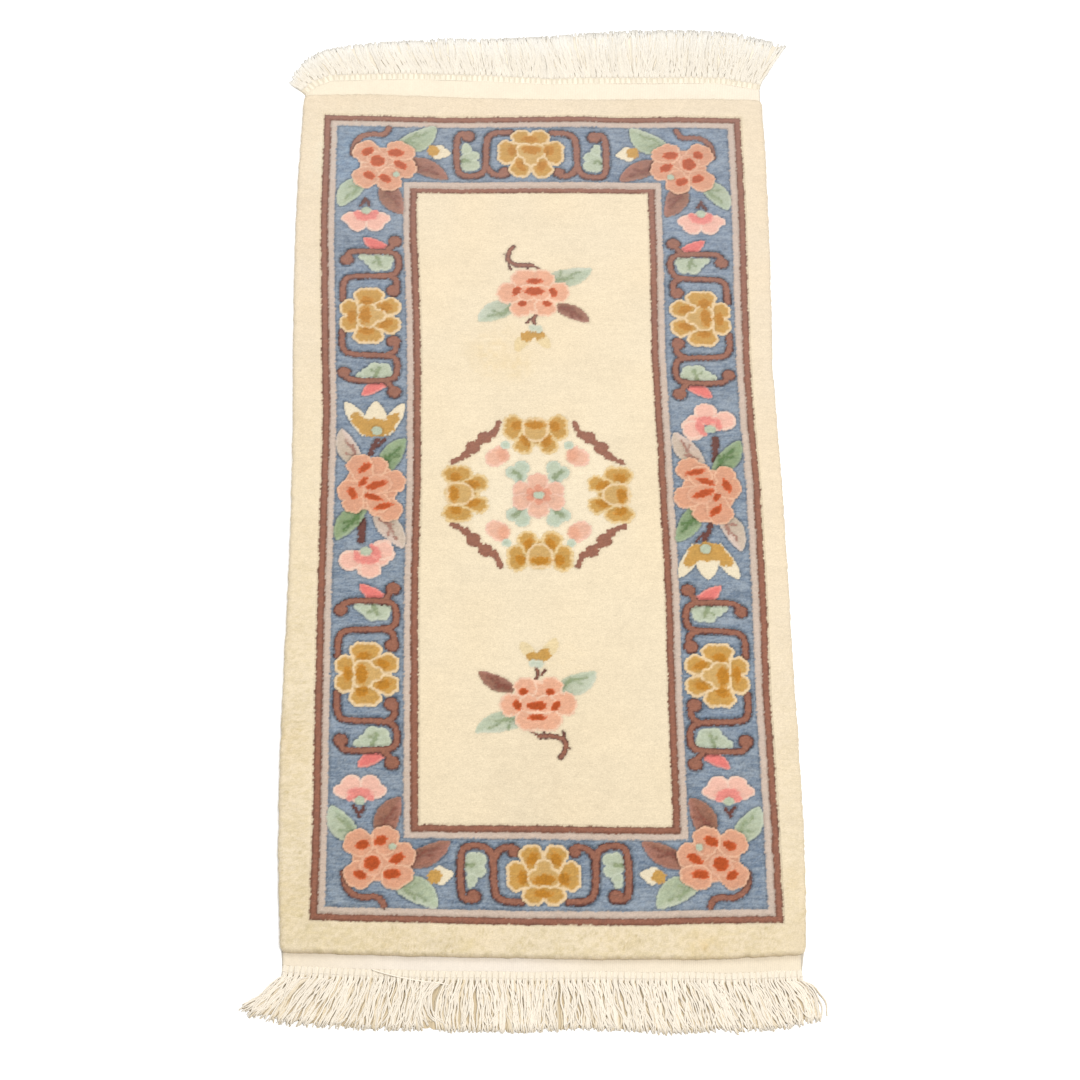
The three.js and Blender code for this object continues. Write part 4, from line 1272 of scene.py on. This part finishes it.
def hung(end, share, offset, rise, lean, bow, length, bends, wave, held):
    # paths of yarns from inside the knots to their tips; angles in radians
    out = -1 if end == "near" else 1
    x, y, straight = heading(end, share)
    px, py = np.cos(straight), np.sin(straight)
    sx, sy = py * out, -px * out
    points = []
    heldOut, heldWide, _ = held[-1]
    for along, drawn, z in held:
        width = offset * fringe["spread"] * drawn
        high = z + rise * along / heldOut
        points.append((x + px * along + sx * width, y + py * along + sy * width, high))
    qx, qy = x + px * heldOut, y + py * heldOut
    startWidth, endWidth = offset * fringe["spread"] * heldWide, offset * fringe["fan"]
    parts = np.linspace(0, 1, bends)
    amount, phase, period = wave
    for low, high in zip(parts, parts[1:]):
        middle = (low + high) / 2
        angle = mix(lean[0], lean[1], middle) + bow * (middle - 0.5)
        angle = angle + amount * np.cos(phase + middle * length / period * 2 * math.pi)
        way = out * math.pi / 2 - out * angle
        qx, qy = qx + (high - low) * length * np.cos(way), qy + (high - low) * length * np.sin(way)
        width = mix(startWidth, endWidth, 1 - (1 - high) ** 3)
        # down from the knots to the floor, the last of the way flat on it
        z = mix(*fringe["sinks"], min(1, high * 1.3)) + rise
        points.append((qx + sx * width, qy + sy * width, z))
    return np.stack([np.stack(np.broadcast_arrays(*point), axis=-1) for point in points], axis=1)


def lain(end, share):
    # lean at the root and at the tip, and length, at places along the heading
    table = np.array(lies[end])
    return [np.interp(share, table[:, 0], table[:, column]) for column in (1, 2, 3)]


def fringePiece(end):
    look = fringe[end]
    rng = np.random.default_rng(91 if end == "near" else 92)
    locks, yarns = fringe["locks"], look["yarns"]
    share = np.repeat((np.arange(locks) + 0.5) / locks, yarns)
    root, tip, length = lain(end, share)
    eachLock = lambda size: np.repeat(rng.normal(0, size, locks), yarns)
    eachYarn = lambda size: rng.normal(0, size, locks * yarns)
    # neighbouring locks bend alike
    window = np.ones(5) / 5 ** 0.5
    alike = lambda size: np.repeat(np.convolve(rng.normal(0, size, locks + 4), window, "valid"), yarns)
    turned = eachLock(fringe["turned"]["lock"]) + alike(fringe["turned"]["alike"])
    bowed = fringe["bowed"]
    bow = eachLock(bowed["lock"]) + alike(bowed["alike"]) + eachYarn(bowed["yarn"])
    for at, more in fringe["curls"][end]:
        bow += more * np.exp(-(((share - at) * locks / 0.8) ** 2))
    stray = rng.uniform(0, 1, share.shape) < fringe["stray"]
    lean = [
        np.radians(middle + turned + eachYarn(differs["yarn"]) + stray * eachYarn(differs["stray"]))
        for middle, differs in ((root, fringe["rootDiffers"]), (tip, fringe["tipDiffers"]))
    ]
    length = length * rng.uniform(*look["even"], share.shape) - look["held"][-1][0]
    offset = np.tile((np.arange(yarns) - (yarns - 1) / 2) / (yarns - 1), locks) + eachYarn(0.06)
    level = np.where(stray, 1.15, rng.uniform(0, 1, share.shape))
    # how strong, where it starts, how long
    wave = [rng.uniform(*limits, share.shape) for limits in (look["wave"], (0, 6.3), (16, 36))]
    rise = (level - 0.3) * look["pileUp"]
    paths = hung(
        end, share, offset, rise, lean, np.radians(bow), length, fringe["bends"], wave, look["held"],
    )
    thick = look["thick"] / 2 * rng.uniform(0.84, 1.1, share.shape) * np.where(level < 0.3, 1.2, 1.0)
    paths[..., 2] = np.maximum(paths[..., 2], thick[:, None])
    along = np.ones(paths.shape[1])
    along[[0, -2, -1]] = 0.8, 0.95, 0.75
    tones = linear(look["dye"]) * (1 + eachLock(0.012) + eachYarn(0.025))[:, None]
    # the lower yarns are toned towards low: painted shade under the upper ones
    tones = look["share"] * tones * mix(np.array(look["low"]), np.ones(3), ease(level * 1.5)[:, None])
    # painted light: the tips lightened and cooled at the far end, where the light was brighter
    ahead = ease(np.linspace(-0.7, 1, paths.shape[1]))[:, None]
    tones = tones[:, None] * mix(np.ones(3), np.array(look["tips"]), ahead)
    return tubes("fringe" + end.capitalize(), paths, thick[:, None] * along, tones, fringe["sides"])


def bedPiece(end):
    # the lowest yarns as one ribbed mat, so that no floor shows between the locks; its darker tan is painted
    # shade under the locks
    look = fringe[end]
    rng = np.random.default_rng(97 if end == "near" else 98)
    count = fringe["locks"] * fringe["bedRibs"] + 1
    share = np.linspace(0, 1, count)
    root, tip, length = lain(end, share)
    still, held = np.zeros(count), fringe["bedHeld"]
    length = length * rng.uniform(0.9, 0.97, count) - held[-1][0]
    wave = still, still, np.full(count, 30.0)      # none
    lean = np.radians(root), np.radians(tip)
    paths = hung(end, share, still, still, lean, still, length, fringe["bedBends"], wave, held)
    heights = [z for _, _, z in held] + [look["bedHigh"]] * (fringe["bedBends"] - 1)
    heights[:3] = [z + look["knotLift"] for z in heights[:3]]
    heights[3:5] = [look["speckHigh"]] * 2
    rib = np.where(np.arange(count) % 2 == 0, -1.0, 1.0) * fringe["ribHigh"]
    paths[..., 2] = np.array(heights) + rib[:, None] + rng.uniform(-0.1, 0.1, paths.shape[:2])
    paths[[0, -1], :, 2], paths[:, -1, 2] = 0.1, 0.1
    tones = np.ones(paths.shape) * linear(look["dye"]) * np.array(look["paintedBedShade"]) * look["share"]
    tones *= (1 + rng.normal(0, 0.05, count))[:, None, None]
    # painted shade: dark gaps where the knots end and the locks part
    paintedGapShade = (np.arange(count) % fringe["bedRibs"] == 0) * rng.uniform(0, 1, count) ** 1.6 * look["speck"]
    tones[:, :3] *= np.array(look["knotBed"]) / np.array(look["paintedBedShade"])
    tones[:, 3:5] *= (1 - paintedGapShade)[:, None, None]
    places = toFrame(paths[..., 0], paths[..., 1], paths[..., 2]).transpose(1, 0, 2)
    tones = tones.transpose(1, 0, 2)
    if end == "near":
        places, tones = places[::-1], tones[::-1]
    return gridPiece("fringeBed" + end.capitalize(), places, tones)


def threadPiece():
    line = np.array(fringe["thread"], float)
    at = np.linspace(0, len(line) - 1, 22)
    path = np.stack([
        np.mean([np.interp(at + step, range(len(line)), line[:, axis]) for step in (-0.4, 0, 0.4)], axis=0)
        for axis in range(3)
    ], axis=-1)[None]
    tones = (linear(fringe["near"]["dye"]) * fringe["near"]["share"])[None]
    # a little lighter than the strands: painted light against the shade it lies in
    return tubes("looseThread", path, np.full(path.shape[:2], 0.85), tones * 1.12, 6)


knotShape = {
    "out": 5.8, "long": 7.2, "wide": 3.6, "high": 1.2, "middle": 2.1,
    "around": 12, "rings": 7, "square": 0.55, "ribs": 0.62,
    "share": {"near": 0.9, "far": 0.85}, "dye": {"near": (250, 238, 217), "far": (251, 238, 212)},
}


def squared(value):
    return math.copysign(abs(value) ** knotShape["square"], value)


def knotPiece(end):
    rng = np.random.default_rng(95 if end == "near" else 96)
    bm = bmesh.new()
    run = bm.loops.layers.uv.new("run")
    for k in range(fringe["locks"]):
        x, y, straight = heading(end, (k + 0.5) / fringe["locks"])
        made = bmesh.ops.create_uvsphere(
            bm, u_segments=knotShape["around"], v_segments=knotShape["rings"], radius=1.0,
        )
        turn = straight + rng.normal(0, 0.05)
        c, s = math.cos(turn), math.sin(turn)
        sizeLong = knotShape["long"] * rng.uniform(0.93, 1.05)
        sizeWide = knotShape["wide"] * rng.uniform(0.9, 1.04)
        px, py = x + math.cos(straight) * knotShape["out"], y + math.sin(straight) * knotShape["out"]
        for vert in made["verts"]:
            a, b, z = vert.co
            for loop in vert.link_loops:
                loop[run].uv = (b * sizeWide * knotShape["ribs"] + k, 0)
            # drawn in a little towards the web, fullest near the loose end
            waist = 0.93 + 0.07 * math.cos(2.4 * (a - 0.45))
            p, q = squared(a) * sizeLong, squared(b) * sizeWide * waist
            high = knotShape["middle"] + z * knotShape["high"] * (0.9 + 0.2 * a)
            vert.co = toFrame(px + p * c - q * s, py + p * s + q * c, high)
    mesh = bpy.data.meshes.new("knots" + end.capitalize())
    bm.to_mesh(mesh)
    bm.free()
    return dyedPiece(mesh, linear(knotShape["dye"][end]) * fringe[end]["share"] * knotShape["share"][end])


for end in ("near", "far"):
    strands = fringePiece(end)
    others = [bedPiece(end), knotPiece(end)] + ([threadPiece()] if end == "near" else [])
    for piece in [strands] + others:
        piece.data.materials.append(weave if piece.name.startswith("fringeBed") else yarn)
        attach(piece, "root")
    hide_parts("fringe_" + end)
    print(strands.name, [triangles(piece) for piece in [strands] + others], "triangles")

# floor, light and camera; the floor lies a hair low, so that nothing flickers
bm = bmesh.new()
bmesh.ops.create_grid(bm, x_segments=1, y_segments=1, size=6.0, matrix=Matrix.Translation((0, 0, -0.0005)))
floorMesh = bpy.data.meshes.new("floor")
bm.to_mesh(floorMesh)
bm.free()
floor = bpy.data.objects.new("floor", floorMesh)
scene.collection.objects.link(floor)
paint = bpy.data.materials.new("paleFloor")
paint.use_nodes = True
paintShader = paint.node_tree.nodes["Principled BSDF"]
paintShader.inputs["Base Color"].default_value = (0.95, 0.95, 0.95, 1)
paintShader.inputs["Roughness"].default_value = 0.9
paintShader.inputs["Specular IOR Level"].default_value = 0.1
floorMesh.materials.append(paint)

studio = {
    # place, size, watts
    "lamps": {"key": ((0.7, -1.1, 2.9), 1.6, 82), "far": ((-0.5, 1.5, 2.8), 2.0, 52)},
    "world": 0.6,
}
for name, (place, size, watts) in studio["lamps"].items():
    data = bpy.data.lights.new(name, "AREA")
    data.shape = "DISK"
    data.size = size
    data.energy = watts
    lamp = bpy.data.objects.new(name, data)
    lamp.location = place
    lamp.rotation_euler = (Vector((0, 0, 0)) - lamp.location).to_track_quat("-Z", "Y").to_euler()
    scene.collection.objects.link(lamp)
world = bpy.data.worlds.new("studio")
world.use_nodes = True
world.node_tree.nodes["Background"].inputs["Color"].default_value = (1, 1, 1, 1)
world.node_tree.nodes["Background"].inputs["Strength"].default_value = studio["world"]
scene.world = world
scene.view_settings.view_transform = "Standard"

# fitted to the corners of the stripes
view = {"lens": 117.79, "place": (-0.18275, -2.26468, 3.79443), "turned": (30.10529, -2.31892, -0.92356)}
cameraData = bpy.data.cameras.new("camera")
cameraData.lens, cameraData.sensor_width = view["lens"], 36
cameraData.clip_start, cameraData.clip_end = 0.1, 60
camera = bpy.data.objects.new("camera", cameraData)
camera.location = view["place"]
camera.rotation_euler = [math.radians(angle) for angle in view["turned"]]
scene.collection.objects.link(camera)
scene.camera = camera

print("rug ready")
